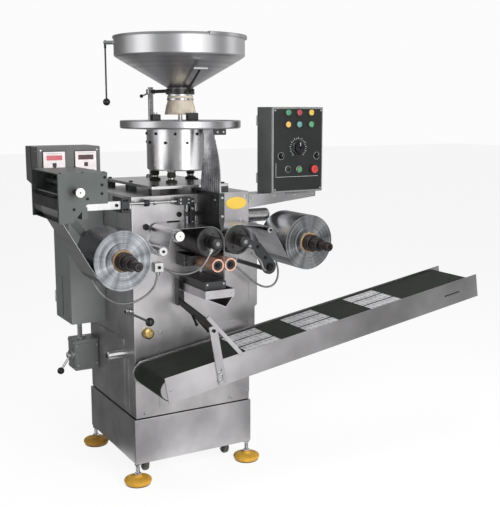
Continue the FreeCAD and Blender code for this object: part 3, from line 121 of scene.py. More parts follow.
def patches(tree: NodeTree, where: NodeSocket, spacing: float, low: float = 0.0, high: float = 1.0,
            stretch: Sequence[float] = (1.0, 1.0, 1.0), detail: float = 3.0) -> NodeSocket:
    """Draw a soft random pattern for stains, grain or brush marks.

    Args:
        tree: the material's nodes.
        where: the coordinates, in metres.
        spacing: how far apart the patches are, in millimetres.
        low: value in the darkest patches.
        high: value in the lightest patches.
        stretch: how much each axis counts; a small one draws lines along it.
        detail: how much finer pattern lies in the coarse one.

    Returns:
        The pattern's value.
    """
    scaled = add(tree, "Mapping", {"Vector": where, "Scale": [s / (MM * spacing) for s in stretch]})
    cloud = add(tree, "TexNoise", {"Vector": scaled.outputs[0], "Scale": 1.0, "Detail": detail})
    spread = add(tree, "MapRange", {"Value": cloud.outputs[0], "From Min": 0.3, "From Max": 0.7,
                                    "To Min": low, "To Max": high})
    return spread.outputs[0]


@dataclass(frozen=True)
class Finish:
    """What a surface is made of and how it was finished."""

    name: str
    colour: str
    second: str
    roughness: float = 0.5
    metallic: float = 0.0

    def material(self) -> Material:
        """Make this finish's material, or give the one made before.

        Returns:
            The material.
        """
        made = bpy.data.materials.get(self.name)
        if made is None:
            made = bpy.data.materials.new(self.name)
            made.use_nodes = True
            tree = made.node_tree
            tree.nodes.clear()
            shader = add(tree, "BsdfPrincipled", {"Base Color": linear(self.colour), "Metallic": self.metallic,
                                                  "Roughness": self.roughness})
            add(tree, "OutputMaterial", {"Surface": shader.outputs[0]})
            self.dress(tree, shader, add(tree, "TexCoord").outputs["Object"])
            made.diffuse_color = linear(self.colour)
            made.metallic = self.metallic
            made.roughness = self.roughness
        return made

    def dress(self, tree: NodeTree, shader: Node, where: NodeSocket) -> None:
        """Give the shader this finish's own pattern.

        Args:
            tree: the material's nodes.
            shader: its surface shader.
            where: object coordinates, in metres.
        """
        self.tone(tree, shader, patches(tree, where, 90.0))

    def tone(self, tree: NodeTree, shader: Node, amount: NodeSocket) -> None:
        """Let the colour drift between the finish's two tones.

        Args:
            tree: the material's nodes.
            shader: its surface shader.
            amount: 0 gives the first tone and 1 the second.
        """
        mixed = add(tree, "Mix", {0: amount, 6: linear(self.colour), 7: linear(self.second)}, data_type="RGBA")
        tree.links.new(mixed.outputs[2], shader.inputs["Base Color"])

    def relief(self, tree: NodeTree, shader: Node, height: NodeSocket, depth: float, strength: float) -> None:
        """Raise a pattern from the surface.

        Args:
            tree: the material's nodes.
            shader: its surface shader.
            height: the pattern, from 0 to 1.
            depth: how high 1 stands, in millimetres.
            strength: how much of it shows.
        """
        bump = add(tree, "Bump", {"Height": height, "Distance": depth * MM, "Strength": strength})
        tree.links.new(bump.outputs[0], shader.inputs["Normal"])


@dataclass(frozen=True)
class BrushedMetal(Finish):
    """Sheet metal finished with a belt: soft, slightly cloudy gloss with faint lines one way.

    Real brush lines are 0.1 mm apart; they are drawn as coarse as spacing, so that they show.
    """

    metallic: float = 1.0
    lines: Lines = Lines.UPRIGHT
    spacing: float = 5.0
    cloud: float = 170.0
    depth: float = 0.03
    swing: float = 0.06

    def dress(self, tree: NodeTree, shader: Node, where: NodeSocket) -> None:
        """Draw the clouds, the lines in the gloss and their faint relief."""
        self.tone(tree, shader, patches(tree, where, self.cloud))
        marks = patches(tree, where, self.spacing, 0.0, 1.0, self.lines.value, 4.0)
        haze = patches(tree, where, self.cloud * 0.4, -0.5, 0.5)
        both = add(tree, "Math", {0: marks, 1: haze}, operation="ADD")
        gloss = add(tree, "MapRange", {"Value": both.outputs[0], "From Min": -0.5, "From Max": 1.5,
                                       "To Min": self.roughness - self.swing, "To Max": self.roughness + self.swing})
        tree.links.new(gloss.outputs[0], shader.inputs["Roughness"])
        self.relief(tree, shader, marks, self.depth, 0.35)


@dataclass(frozen=True)
class TurnedMetal(Finish):
    """Metal from a lathe, or foil wound on a reel: rings round one axis, which fan the highlights.

    The rings are drawn a few millimetres apart, far coarser than the tool's, so that they show.
    """

    metallic: float = 1.0
    centre: Place = (0.0, 0.0, 0.0)
    axis: Place = UP
    spacing: float = 4.0
    depth: float = 0.05
    swing: float = 0.08
    fan: float = 0.6
    # Share of painted highlight fans in the tone: it changes with the angle round the axis.
    painted_fans: float = 0.0

    def dress(self, tree: NodeTree, shader: Node, where: NodeSocket) -> None:
        """Draw the rings by their distance from the axis, paint highlight fans by the angle round it, and turn the
        gloss round it.
        """
        away = add(tree, "VectorMath", {0: where, 1: [c * MM for c in self.centre]}, operation="SUBTRACT")
        across = add(tree, "VectorMath", {0: away.outputs[0], 1: [1.0 - abs(a) for a in self.axis]},
                     operation="MULTIPLY")
        radius = add(tree, "VectorMath", {0: across.outputs[0]}, operation="LENGTH")
        rings = add(tree, "TexNoise", {"W": radius.outputs["Value"], "Scale": 1.0 / (MM * self.spacing),
                                       "Detail": 3.0}, noise_dimensions="1D")
        # Tone by the angle round the axis: painted highlight fans.
        turn = add(tree, "VectorMath", {0: across.outputs[0]}, operation="NORMALIZE")
        painted_fan_noise = add(tree, "TexNoise", {"Vector": turn.outputs[0], "Scale": 2.2, "Detail": 2.0})
        shares = add(tree, "Mix", {0: self.painted_fans, 2: rings.outputs[0], 3: painted_fan_noise.outputs[0]})
        self.tone(tree, shader, add(tree, "MapRange", {"Value": shares.outputs[0], "From Min": 0.35,
                                                       "From Max": 0.65}).outputs[0])
        gloss = add(tree, "MapRange", {"Value": rings.outputs[0], "From Min": 0.3, "From Max": 0.7,
                                       "To Min": self.roughness - self.swing, "To Max": self.roughness + self.swing})
        tree.links.new(gloss.outputs[0], shader.inputs["Roughness"])
        self.relief(tree, shader, rings.outputs[0], self.depth, 0.4)
        shader.inputs["Anisotropic"].default_value = self.fan
        round_way = add(tree, "VectorMath", {0: list(self.axis), 1: across.outputs[0]}, operation="CROSS_PRODUCT")
        world_way = add(tree, "VectorTransform", {"Vector": round_way.outputs[0]}, vector_type="VECTOR",
                        convert_from="OBJECT", convert_to="WORLD")
        even = add(tree, "VectorMath", {0: world_way.outputs[0]}, operation="NORMALIZE")
        tree.links.new(even.outputs[0], shader.inputs["Tangent"])


@dataclass(frozen=True)
class ThinFoil(Finish):
    """Aluminium foil under tension: bright, with long soft ripples across the web."""

    metallic: float = 1.0
    ripple: float = 26.0
    depth: float = 0.5
    stretch: Place = (1.0, 0.15, 1.0)

    def dress(self, tree: NodeTree, shader: Node, where: NodeSocket) -> None:
        """Draw the ripples and a slight drift of tone."""
        self.tone(tree, shader, patches(tree, where, 60.0, stretch=self.stretch))
        self.relief(tree, shader, patches(tree, where, self.ripple, stretch=self.stretch, detail=2.0),
                    self.depth, 0.5)


@dataclass(frozen=True)
class Paint(Finish):
    """Stoved paint on sheet steel: even colour, fine orange-peel grain, a little dust.

    The grain is really about 1 mm; it is drawn as coarse as grain, so that it shows.
    """

    grain: float = 3.0
    depth: float = 0.08
    sheen_coat: float = 0.15

    def dress(self, tree: NodeTree, shader: Node, where: NodeSocket) -> None:
        """Draw the drift of tone and the grain."""
        self.tone(tree, shader, patches(tree, where, 130.0, detail=5.0))
        self.relief(tree, shader, patches(tree, where, self.grain, detail=1.0), self.depth, 0.5)
        shader.inputs["Coat Weight"].default_value = self.sheen_coat
        shader.inputs["Coat Roughness"].default_value = 0.25
        shader.inputs["IOR"].default_value = 1.5


@dataclass(frozen=True)
class MouldedPlastic(Finish):
    """Thermoset or nylon moulding: smooth, with a faint eroded texture from the mould."""

    grain: float = 2.0
    depth: float = 0.03

    def dress(self, tree: NodeTree, shader: Node, where: NodeSocket) -> None:
        """Draw the faint texture and the slightly uneven colour."""
        self.tone(tree, shader, patches(tree, where, 22.0))
        self.relief(tree, shader, patches(tree, where, self.grain), self.depth, 0.4)
        shader.inputs["IOR"].default_value = 1.52


@dataclass(frozen=True)
class Lens(Finish):
    """Coloured acrylic of a panel lamp: deep clear colour with a wet gloss."""

    def dress(self, tree: NodeTree, shader: Node, where: NodeSocket) -> None:
        """Draw the moulded prisms in the lens, and its clear face over them."""
        prisms = patches(tree, where, 4.0, detail=0.0)
        self.tone(tree, shader, prisms)
        self.relief(tree, shader, prisms, 0.1, 0.3)
        shader.inputs["Coat Weight"].default_value = 0.8
        shader.inputs["Coat Roughness"].default_value = 0.05


@dataclass(frozen=True)
class Rubber(Finish):
    """Rubber or silicone: matte and even, greyer where dust lies."""

    grain: float = 1.5
    depth: float = 0.06

    def dress(self, tree: NodeTree, shader: Node, where: NodeSocket) -> None:
        """Draw the dust and the fine skin of the rubber."""
        self.tone(tree, shader, patches(tree, where, 70.0, detail=5.0))
        self.relief(tree, shader, patches(tree, where, self.grain), self.depth, 0.5)
        shader.inputs["Specular IOR Level"].default_value = 0.35


@dataclass(frozen=True)
class Woven(Finish):
    """Cloth or a rubber-faced ply belt: a plain weave that catches the light thread by thread.

    Threads are really under 1 mm; they are drawn as coarse as thread, so that they show.
    """

    thread: float = 2.4
    depth: float = 0.3
    along: Place = (1.0, 0.0, 0.0)
    across: Place = (0.0, 0.0, 1.0)

    def dress(self, tree: NodeTree, shader: Node, where: NodeSocket) -> None:
        """Cross two sets of thread ridges and let the colour follow them."""
        ridges = []
        for way in (self.along, self.across):
            turned = add(tree, "VectorMath", {0: where, 1: list(way)}, operation="DOT_PRODUCT")
            turns = add(tree, "Math", {0: turned.outputs["Value"], 1: math.tau / (MM * self.thread)},
                        operation="MULTIPLY")
            ridges.append(add(tree, "Math", {0: turns.outputs[0]}, operation="SINE").outputs[0])
        crossed = add(tree, "Math", {0: ridges[0], 1: ridges[1]}, operation="MULTIPLY")
        weave = add(tree, "MapRange", {"Value": crossed.outputs[0], "From Min": -1.0, "From Max": 1.0})
        worn = patches(tree, where, 45.0, -0.35, 0.65)
        both = add(tree, "Math", {0: weave.outputs[0], 1: worn}, operation="ADD", use_clamp=True)
        self.tone(tree, shader, both.outputs[0])
        self.relief(tree, shader, weave.outputs[0], self.depth, 0.6)
        shader.inputs["Specular IOR Level"].default_value = 0.3


# AISI 304 sheet with a satin belt finish gives the eye a soft, cloudy grey with faint upright lines.
SATIN_STEEL = BrushedMetal("stainless_steel_satin", "#D8D6D7", "#B2B0B2", 0.34, swing=0.08)
# The same sheet brushed level, as folded trays and guards are.
LEVEL_STEEL = BrushedMetal("stainless_steel_brushed_level", "#D6D4D6", "#B2B0B2", 0.33, lines=Lines.LEVEL)
# Long side plates, brushed along their length.
PLATE_STEEL = BrushedMetal("stainless_steel_conveyor_plate", "#DCDADC", "#B0AEB0", 0.34, lines=Lines.LEVEL,
                           cloud=260.0)
# Milled and ground mild steel: brighter and crisper than sheet.
BRIGHT_STEEL = BrushedMetal("mild_steel_ground", "#D6D6D6", "#C6C6C7", 0.24, lines=Lines.NONE, spacing=3.0,
                            cloud=50.0)
# The drum is turned and polished nearly to a mirror.
DRUM_STEEL = BrushedMetal("stainless_steel_polished", "#E6E5E7", "#DCDBDD", 0.26, spacing=4.0, cloud=120.0,
                          depth=0.01, swing=0.03)
# Spun sheet of the hopper: satin, with rings that fan the light round its axis.
HOPPER_STEEL = TurnedMetal("stainless_steel_spun", "#DADADC", "#CCCCCE", 0.32, centre=(60.0, -50.0, 0.0),
                           spacing=16.0, depth=0.01, swing=0.03, fan=0.3)
# The feeder disc, faced on a lathe.
DISC_STEEL = TurnedMetal("stainless_steel_faced", "#D2D1D3", "#C4C3C5", 0.28, centre=(60.0, -50.0, 0.0),
                         spacing=5.0, depth=0.03, swing=0.05, fan=0.4)
# Polished feed tracks, and a darker copy of the same steel: painted shade in their grooves.
TRACK_STEEL = BrushedMetal("track_steel_polished", "#DCDCDE", "#C6C6C8", 0.18, spacing=3.0, cloud=60.0)
TRACK_PAINTED_SHADE = BrushedMetal("track_steel_painted_shade", "#B4B4B6", "#8A8A8E", 0.3, spacing=3.0, cloud=60.0)
# Steel blackened by oil and heat keeps a dull brown-grey shine.
DARK_STEEL = BrushedMetal("tool_steel_oiled", "#5A5B5B", "#474847", 0.38, lines=Lines.NONE, spacing=3.0,
                          cloud=40.0, depth=0.06)
# Serrated sealing rollers, browned by their own heat.
ROLLER_STEEL = BrushedMetal("roller_steel_heat_browned", "#454240", "#2C2A29", 0.36, lines=Lines.NONE, spacing=4.0,
                            cloud=50.0, depth=0.05)
# Hard-chromed guide rollers.
GUIDE_STEEL = BrushedMetal("roller_steel_chromed", "#A8A8AA", "#8C8C8E", 0.2, lines=Lines.DEEP, spacing=4.0,
                           cloud=40.0)
# Phosphated screws and nuts.
BLACK_SCREW = BrushedMetal("steel_phosphated", "#3A3A3B", "#2C2C2D", 0.42, lines=Lines.NONE, spacing=2.0,
                           cloud=12.0)
# Zinc plated screws and nuts: bright with a slight haze.
ZINC_SCREW = BrushedMetal("steel_zinc_plated", "#D2D3D4", "#BCBEC0", 0.22, lines=Lines.NONE, spacing=2.0,
                          cloud=10.0)
# Polished brass, a little tarnished.
BRASS = BrushedMetal("brass_polished", "#E2CB8A", "#C4A566", 0.3, lines=Lines.NONE, spacing=2.0, cloud=14.0)
# Copper-bearing bronze of the slip ring bands.
BRONZE = BrushedMetal("bronze_turned", "#B08A5E", "#8E6E4C", 0.3, lines=Lines.NONE, spacing=2.0, cloud=14.0)
# Flexible steel hose: dull nickel-grey ribs.
HOSE_STEEL = BrushedMetal("steel_hose_nickel", "#C4C4C3", "#A6A6A6", 0.32, lines=Lines.NONE, spacing=2.0,
                          cloud=18.0)
# Plain grey machine enamel on the boxes.
GREY_PAINT = Paint("machine_enamel_grey", "#7E8180", "#757877", 0.42)
# The darker grey of the temperature box.
PALE_PAINT = Paint("machine_enamel_pale_grey", "#5C5D5C", "#505251", 0.4)
# The printing unit's plates: grey enamel with oily stains.
UNIT_PAINT = Paint("machine_enamel_mid_grey", "#4B4F4E", "#3E4241", 0.38)
# Satin charcoal powder coat of the control box.
CHARCOAL = Paint("powder_coat_charcoal", "#787C7A", "#6A6E6C", 0.45, grain=2.5)
# Its front plate, darker and smoother.
PANEL_BLACK = Paint("anodised_panel_black", "#1B1E1C", "#151716", 0.42, grain=2.0, depth=0.03)
# Satin black paint of small castings.
BLACK_PAINT = Paint("machine_enamel_black", "#26272A", "#1C1D1F", 0.32)
# Bakelite balls and knobs: deep glossy black.
BAKELITE = MouldedPlastic("bakelite_black", "#17171A", "#1F1E20", 0.16)
# Dark red-brown bakelite of the reel hubs.
BROWN_BAKELITE = MouldedPlastic("bakelite_brown", "#231815", "#170F0E", 0.3)
# White nylon knobs.
NYLON = MouldedPlastic("nylon_white", "#E4E2DC", "#D4D2CC", 0.38)
# Grey polyamide castor wheels.
WHEEL_NYLON = MouldedPlastic("nylon_dark_grey", "#55564F", "#474842", 0.45)
# Pressed card of the reel cores.
CARD = MouldedPlastic("core_card_tan", "#A98C68", "#8F7454", 0.8, grain=1.5, depth=0.15)
# Yellow polyurethane of the levelling pads.
YELLOW_PAD = Rubber("polyurethane_yellow", "#E2B142", "#C48F30", 0.42)
# Black rubber under them.
BLACK_RUBBER = Rubber("rubber_black", "#26251F", "#35332C", 0.7)
# Pink silicone of the pulling rollers.
SILICONE = Rubber("silicone_copper_pink", "#DDAF9C", "#C69682", 0.34)
# Rubber-faced ply belt, greenish black.
BELT = Woven("belt_rubber_ply", "#161A15", "#20251E", 0.62, thread=5.0, depth=0.25, across=(0.0, 1.0, 0.0))
# Cotton canvas of the boot.
CANVAS = Woven("canvas_beige", "#D9CFC0", "#BDB1A0", 0.85, thread=3.0)
# Enamelled yellow of the bare oval plate.
YELLOW_ENAMEL = Paint("enamel_yellow_oval", "#DDBB4C", "#D0AC3C", 0.3, grain=2.0, depth=0.02)
# Panel lamps: green, red and yellow over amber, teal and leaf green.
LENSES = (Lens("lens_green", "#4F8A6A", "#3E7458", 0.18), Lens("lens_red", "#A84A50", "#8E3A40", 0.18),
          Lens("lens_yellow", "#D2B458", "#BC9C44", 0.18), Lens("lens_amber", "#D6AC62", "#BE9248", 0.18),
          Lens("lens_teal", "#6A9A94", "#56847E", 0.18), Lens("lens_leaf_green", "#5A9870", "#48805C", 0.18))
# Red glow behind the displays' dark filter.
DISPLAY_RED = Lens("display_filter_red", "#4A1519", "#300C10", 0.15)
# The same filter painted paler on one controller: a painted highlight where it catches the light.
DISPLAY_PAINTED_HIGHLIGHT = Lens("display_filter_painted_highlight", "#C45A64", "#AD4650", 0.15)
# Moulded push buttons.
BUTTON_GREEN = MouldedPlastic("button_plastic_green", "#4E8A5E", "#44794F", 0.3)
BUTTON_RED = MouldedPlastic("button_plastic_red", "#B8403C", "#A03430", 0.3)
KEY_ROSE = MouldedPlastic("key_plastic_rose", "#B08084", "#A07074", 0.4)
# White faces of the temperature controllers.
FACE_WHITE = MouldedPlastic("face_plastic_white", "#E6DEDF", "#DAD0D2", 0.42)
# Pale printed lines on the panel, and the dial's grey ticks.
PRINT_GREY = Paint("print_line_grey", "#A6AAA8", "#989C9A", 0.5, grain=2.0, depth=0.01)
# Painted shade: near-black steel put in grooves, slots, louvres and gaps where shade falls.
PAINTED_SHADE_BLACK = BrushedMetal("painted_shade_in_gaps", "#1E1E1E", "#151515", 0.6, lines=Lines.NONE, cloud=30.0)
# Foil of the webs and of the finished strips.
WEB_FOIL = ThinFoil("aluminium_foil_web", "#DCDCDE", "#C4C4C6", 0.27, ripple=22.0, depth=1.1)
# Darker, less metallic foil on the pockets' walls and the strips' edges: painted shade in the creases.
FOIL_PAINTED_SHADE = ThinFoil("aluminium_foil_painted_shade", "#A2A2A6", "#7E7E82", 0.4, metallic=0.5, ripple=7.0, depth=0.8,
                        stretch=(1.0, 1.0, 1.0))
STRIP_FOIL = ThinFoil("aluminium_foil_lacquered", "#E6E6E8", "#C9C9CC", 0.34, metallic=0.35, ripple=7.0, depth=0.8,
                      stretch=(1.0, 1.0, 1.0))


def stand(base: Sequence[float], way: Sequence[float]) -> Matrix:
    """Give the turn and move that stand a shape made on +Z on a base.

    Args:
        base: where its origin goes.
        way: where its +Z points.

    Returns:
        The matrix.
    """
    return Matrix.Translation(Vector(base)) @ Vector(way).to_track_quat("Z", "Y").to_matrix().to_4x4()


def ease(solid: BMesh, edge: float) -> BMesh:
    """Round the sharp edges of a solid, as a file or a press brake leaves them.

    Args:
        solid: the shape.
        edge: width of the rounding, or 0 for none.

    Returns:
        The same shape.
    """
    if edge > 0:
        sharp = [e for e in solid.edges if e.is_manifold and e.calc_face_angle(0.0) > math.radians(SHARP_TURN)]
        bmesh.ops.bevel(solid, geom=sharp, offset=edge, offset_type="OFFSET", segments=2, profile=0.5,
                        affect="EDGES", clamp_overlap=True, material=-1)
    return solid


def block(low: Sequence[float], high: Sequence[float], edge: float = 0.0) -> BMesh:
    """Make a block between two corners.

    Args:
        low: lowest corner.
        high: highest corner.
        edge: width of the edge rounding.

    Returns:
        The shape.
    """
    size = Vector(high) - Vector(low)
    solid = bmesh.new()
    bmesh.ops.create_cube(solid, size=1.0, matrix=Matrix.Translation((Vector(low) + Vector(high)) / 2)
                          @ Matrix.Diagonal((*size, 1.0)))
    return ease(solid, edge)


def turned(profile: Sequence[Flat], base: Sequence[float], way: Sequence[float], steps: int = 48,
           edge: float = 0.0) -> BMesh:
    """Turn a profile round an axis, as on a lathe.

    Args:
        profile: radius and height of each corner; a closed one ends where it starts.
        base: where the axis starts.
        way: where the axis points.
        steps: faces round the axis.
        edge: rounding of the profile's corners.

    Returns:
        The shape.
    """
    closed = profile[0] == profile[-1]
    solid = bmesh.new()
    corners = [solid.verts.new((r, 0.0, h)) for r, h in (profile[:-1] if closed else profile)]
    for start, end in zip(corners, corners[1:]):
        solid.edges.new((start, end))
    if closed:
        solid.edges.new((corners[-1], corners[0]))
    if edge > 0:
        bmesh.ops.bevel(solid, geom=corners if closed else corners[1:-1], offset=edge, offset_type="OFFSET",
                        segments=2, profile=0.5, affect="VERTICES", clamp_overlap=True, material=-1)
    bmesh.ops.spin(solid, geom=solid.verts[:] + solid.edges[:], cent=(0, 0, 0), axis=(0, 0, 1), dvec=(0, 0, 0),
                   angle=math.tau, steps=steps, use_merge=True)
    bmesh.ops.remove_doubles(solid, verts=solid.verts, dist=0.0005)
    bmesh.ops.recalc_face_normals(solid, faces=solid.faces)
    solid.transform(stand(base, way))
    return solid


def rod(start: Sequence[float], end: Sequence[float], radius: float, steps: int = 20, edge: float = 0.0) -> BMesh:
    """Turn a plain rod between two points.

    Args:
        start: middle of its first end.
        end: middle of its other end.
        radius: its radius.
        steps: faces round it.
        edge: chamfer of its ends.

    Returns:
        The shape.
    """
    way = Vector(end) - Vector(start)
    return turned([(0, 0), (radius, 0), (radius, way.length), (0, way.length)], start, way, steps, edge)


def slab(outline: Sequence[Flat], front: float, back: float, edge: float = 0.0) -> BMesh:
    """Extrude an outline, seen from the front, through a depth.

    Args:
        outline: x and z of each corner.
        front: y of its front face.
        back: y of its back face.
        edge: width of the edge rounding.

    Returns:
        The shape.
    """
    solid = bmesh.new()
    face = solid.faces.new([solid.verts.new((x, front, z)) for x, z in outline])
    grown = bmesh.ops.extrude_face_region(solid, geom=[face])["geom"]
    bmesh.ops.translate(solid, verts=[v for v in grown if isinstance(v, BMVert)], vec=(0.0, back - front, 0.0))
    bmesh.ops.recalc_face_normals(solid, faces=solid.faces)
    return ease(solid, edge)


def ball(centre: Sequence[float], radius: float) -> BMesh:
    """Make a turned ball.

    Args:
        centre: its middle.
        radius: its radius.

    Returns:
        The shape.
    """
    solid = bmesh.new()
    bmesh.ops.create_uvsphere(solid, u_segments=24, v_segments=14, radius=radius,
                              matrix=Matrix.Translation(Vector(centre)))
    return solid


def copy_of(node: str, edge: float = 0.0, flat: float = 0.6) -> BMesh:
    """Take a merged copy of a frame node as a start, with its edges rounded.

    Args:
        node: the node's name.
        edge: width of the edge rounding.
        flat: faces that turn by less than this many degrees become one.

    Returns:
        The shape.
    """
    solid = bmesh.new()
    solid.from_mesh(bpy.data.objects[node].data)
    solid.transform(Matrix.Scale(1 / MM, 4))
    bmesh.ops.remove_doubles(solid, verts=solid.verts, dist=0.01)
    bmesh.ops.dissolve_limit(solid, angle_limit=math.radians(flat), use_dissolve_boundaries=False,
                             verts=solid.verts, edges=solid.edges)
    return ease(solid, edge)


def cap_screw(radius: float, height: float) -> BMesh:
    """Make a socket cap screw's head on the origin, with its hexagon sunk from the top.

    Args:
        radius: the head's radius.
        height: the head's height.

    Returns:
        The shape.
    """
    head = turned([(0, -0.5), (radius, -0.5), (radius, height), (0, height)], (0, 0, 0), UP, 16, radius * 0.12)
    bmesh.ops.dissolve_limit(head, angle_limit=math.radians(1), use_dissolve_boundaries=False, verts=head.verts,
                             edges=head.edges)
    top = max(head.faces, key=lambda f: f.calc_center_median().z)
    bmesh.ops.inset_individual(head, faces=[top], thickness=radius * 0.4)
    bmesh.ops.inset_individual(head, faces=[top], thickness=radius * 0.05, depth=-height * 0.6)
    return head


def hexagon(radius: float, height: float) -> BMesh:
    """Make a hexagon nut or head on the origin, with its corners turned off.

    Args:
        radius: radius over the corners.
        height: its height.

    Returns:
        The shape.
    """
    solid = bmesh.new()
    bmesh.ops.create_cone(solid, cap_ends=True, segments=6, radius1=radius, radius2=radius, depth=height,
                          matrix=Matrix.Translation((0, 0, height / 2)))
    return ease(solid, radius * 0.1)


def knurl(solid: BMesh, test: Callable[[BMFace], bool], land: float, depth: float) -> BMesh:
    """Press a pocket into each face that the test picks, as a knurling wheel does.

    Args:
        solid: the shape.
        test: says which faces.
        land: width left round each pocket.
        depth: how deep it goes.

    Returns:
        The same shape.
    """
    bmesh.ops.inset_individual(solid, faces=[f for f in solid.faces if test(f)], thickness=land, depth=-depth)
    return solid


class Piece:
    """One named piece of the machine, to which solids are added in millimetres."""

    def __init__(self, name: str) -> None:
        """Start an empty piece.

        Args:
            name: its name in plain letters.
        """
        self.name = name
        self.shape = bmesh.new()
        self.finishes: list[Finish] = []

    def number(self, finish: Finish) -> int:
        """Give the finish's place among the piece's materials."""
        if finish not in self.finishes:
            self.finishes.append(finish)
        return self.finishes.index(finish)

    def add(self, solid: BMesh, finish: Finish) -> None:
        """Add a solid once.

        Args:
            solid: the shape, which is used up.
            finish: its finish.
        """
        self.scatter(solid, finish, [Matrix.Identity(4)])

    def scatter(self, solid: BMesh, finish: Finish, places: Iterable[Matrix]) -> None:
        """Add a solid at many places.

        Args:
            solid: the shape, which is used up.
            finish: its finish.
            places: the turn and move of each copy.
        """
        number = self.number(finish)
        for face in solid.faces:
            face.material_index = number
            face.smooth = True
        scrap = bpy.data.meshes.new("scrap")
        solid.to_mesh(scrap)
        solid.free()
        for place in places:
            scrap.transform(place)
            self.shape.from_mesh(scrap)
            scrap.transform(place.inverted())
        bpy.data.meshes.remove(scrap)

    def screws(self, places: Iterable[Sequence[float]], way: Sequence[float], radius: float = 6.0,
               height: float = 5.0, finish: Finish | None = None) -> None:
        """Drive cap screws into the piece.

        Args:
            places: middle of each head's underside.
            way: where the heads point.
            radius: radius of a head.
            height: height of a head.
            finish: finish of the screws, zinc plated if none is given.
        """
        self.scatter(cap_screw(radius, height), finish or ZINC_SCREW, [stand(p, way) for p in places])

    def recolour(self, finish: Finish, test: Callable[[Vector], bool]) -> None:
        """Give another finish to the faces whose middle passes a test.

        Args:
            finish: the new finish.
            test: says which middles.
        """
        number = self.number(finish)
        for face in self.shape.faces:
            if test(face.calc_center_median()):
                face.material_index = number

    def mount(self, body: str, slot: str, *nodes: str) -> Object:
        """Finish the piece as one object, in metres, and put it on its body.

        Args:
            body: the body that it rides on.
            slot: the record's slot of its main finish; it is not used.
            nodes: the frame nodes that it stands for.

        Returns:
            The object.
        """
        self.shape.transform(Matrix.Scale(MM, 4))
        mesh = bpy.data.meshes.new(self.name)
        self.shape.to_mesh(mesh)
        self.shape.free()
        mesh.set_sharp_from_angle(angle=math.radians(33))
        for finish in self.finishes:
            mesh.materials.append(finish.material())
        piece = bpy.data.objects.new(self.name, mesh)
        bpy.context.scene.collection.objects.link(piece)
        flat = piece.modifiers.new("flat_faces", "WEIGHTED_NORMAL")
        flat.keep_sharp = True
        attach(piece, body)
        if nodes:
            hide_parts(*nodes)
        log.info("%s: %d faces on %s", self.name, len(mesh.polygons), body)
        return piece


class Assembly:
    """A sub-assembly of the machine, which makes and dresses its own pieces."""

    def build(self) -> None:
        """Build every piece of the sub-assembly."""
        raise NotImplementedError


@dataclass
class Conduit:
    """A flexible steel conduit: a hose along a smooth line, with its pressed ribs."""

    name: str
    node: str
    route: tuple[Place, ...]
    length: float
    stiffness: str = "medium"
    radius: float = 4.5
    rib_radius: float = 5.0
    rib_pitch: float = 4.2

    def hose(self) -> Object:
        """Lay the hose's curve along its route.

        Returns:
            The curve object.
        """
        curve = bpy.data.curves.new(self.name, "CURVE")
        curve.dimensions = "3D"
        spline = curve.splines.new("NURBS")
        spline.points.add(len(self.route) - 1)
        for point, place in zip(spline.points, self.route):
            point.co = (*place, 1.0)
        spline.order_u = 3
        spline.use_endpoint_u = True
        spline.resolution_u = 10
        curve.bevel_depth = self.radius * MM
        curve.bevel_resolution = 3
        curve.use_fill_caps = True
        curve.materials.append(HOSE_STEEL.material())
        piece = bpy.data.objects.new(self.name, curve)
        bpy.context.scene.collection.objects.link(piece)
        return piece

    def line(self, piece: Object) -> list[Vector]:
        """Read the hose's middle line at even steps.

        Args:
            piece: the curve object.

        Returns:
            Points a rib apart, in millimetres.
        """
        plain = piece.data.copy()
        plain.bevel_depth = 0.0
        scrap = bpy.data.objects.new("scrap", plain)
        bpy.context.scene.collection.objects.link(scrap)
        mesh = bpy.data.meshes.new_from_object(scrap.evaluated_get(bpy.context.evaluated_depsgraph_get()))
        points = [v.co / MM for v in mesh.vertices]
        bpy.data.objects.remove(scrap)
        bpy.data.curves.remove(plain)
        bpy.data.meshes.remove(mesh)
        even = [points[0]]
        for point in points[1:]:
            while (point - even[-1]).length >= self.rib_pitch:
                even.append(even[-1] + (point - even[-1]).normalized() * self.rib_pitch)
        return even

    def build(self) -> None:
        """Lay the hose and thread its ribs on."""
        piece = self.hose()
        line = self.line(piece)
        half = self.rib_pitch * 0.32
        profile = [(self.radius - 0.4, -half), (self.rib_radius, 0), (self.radius - 0.4, half),
                   (self.radius - 0.4, -half)]
        ribs = Piece(self.name + "_ribs")
        ribs.scatter(turned(profile, (0, 0, 0), UP, 12), HOSE_STEEL,
                     [stand(a, b - a) for a, b in zip(line[1:-2], line[2:-1])])
        pressed = ribs.mount("machine", "conduit_steel")
        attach(piece, "machine")
        if self.node:
            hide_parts(self.node)


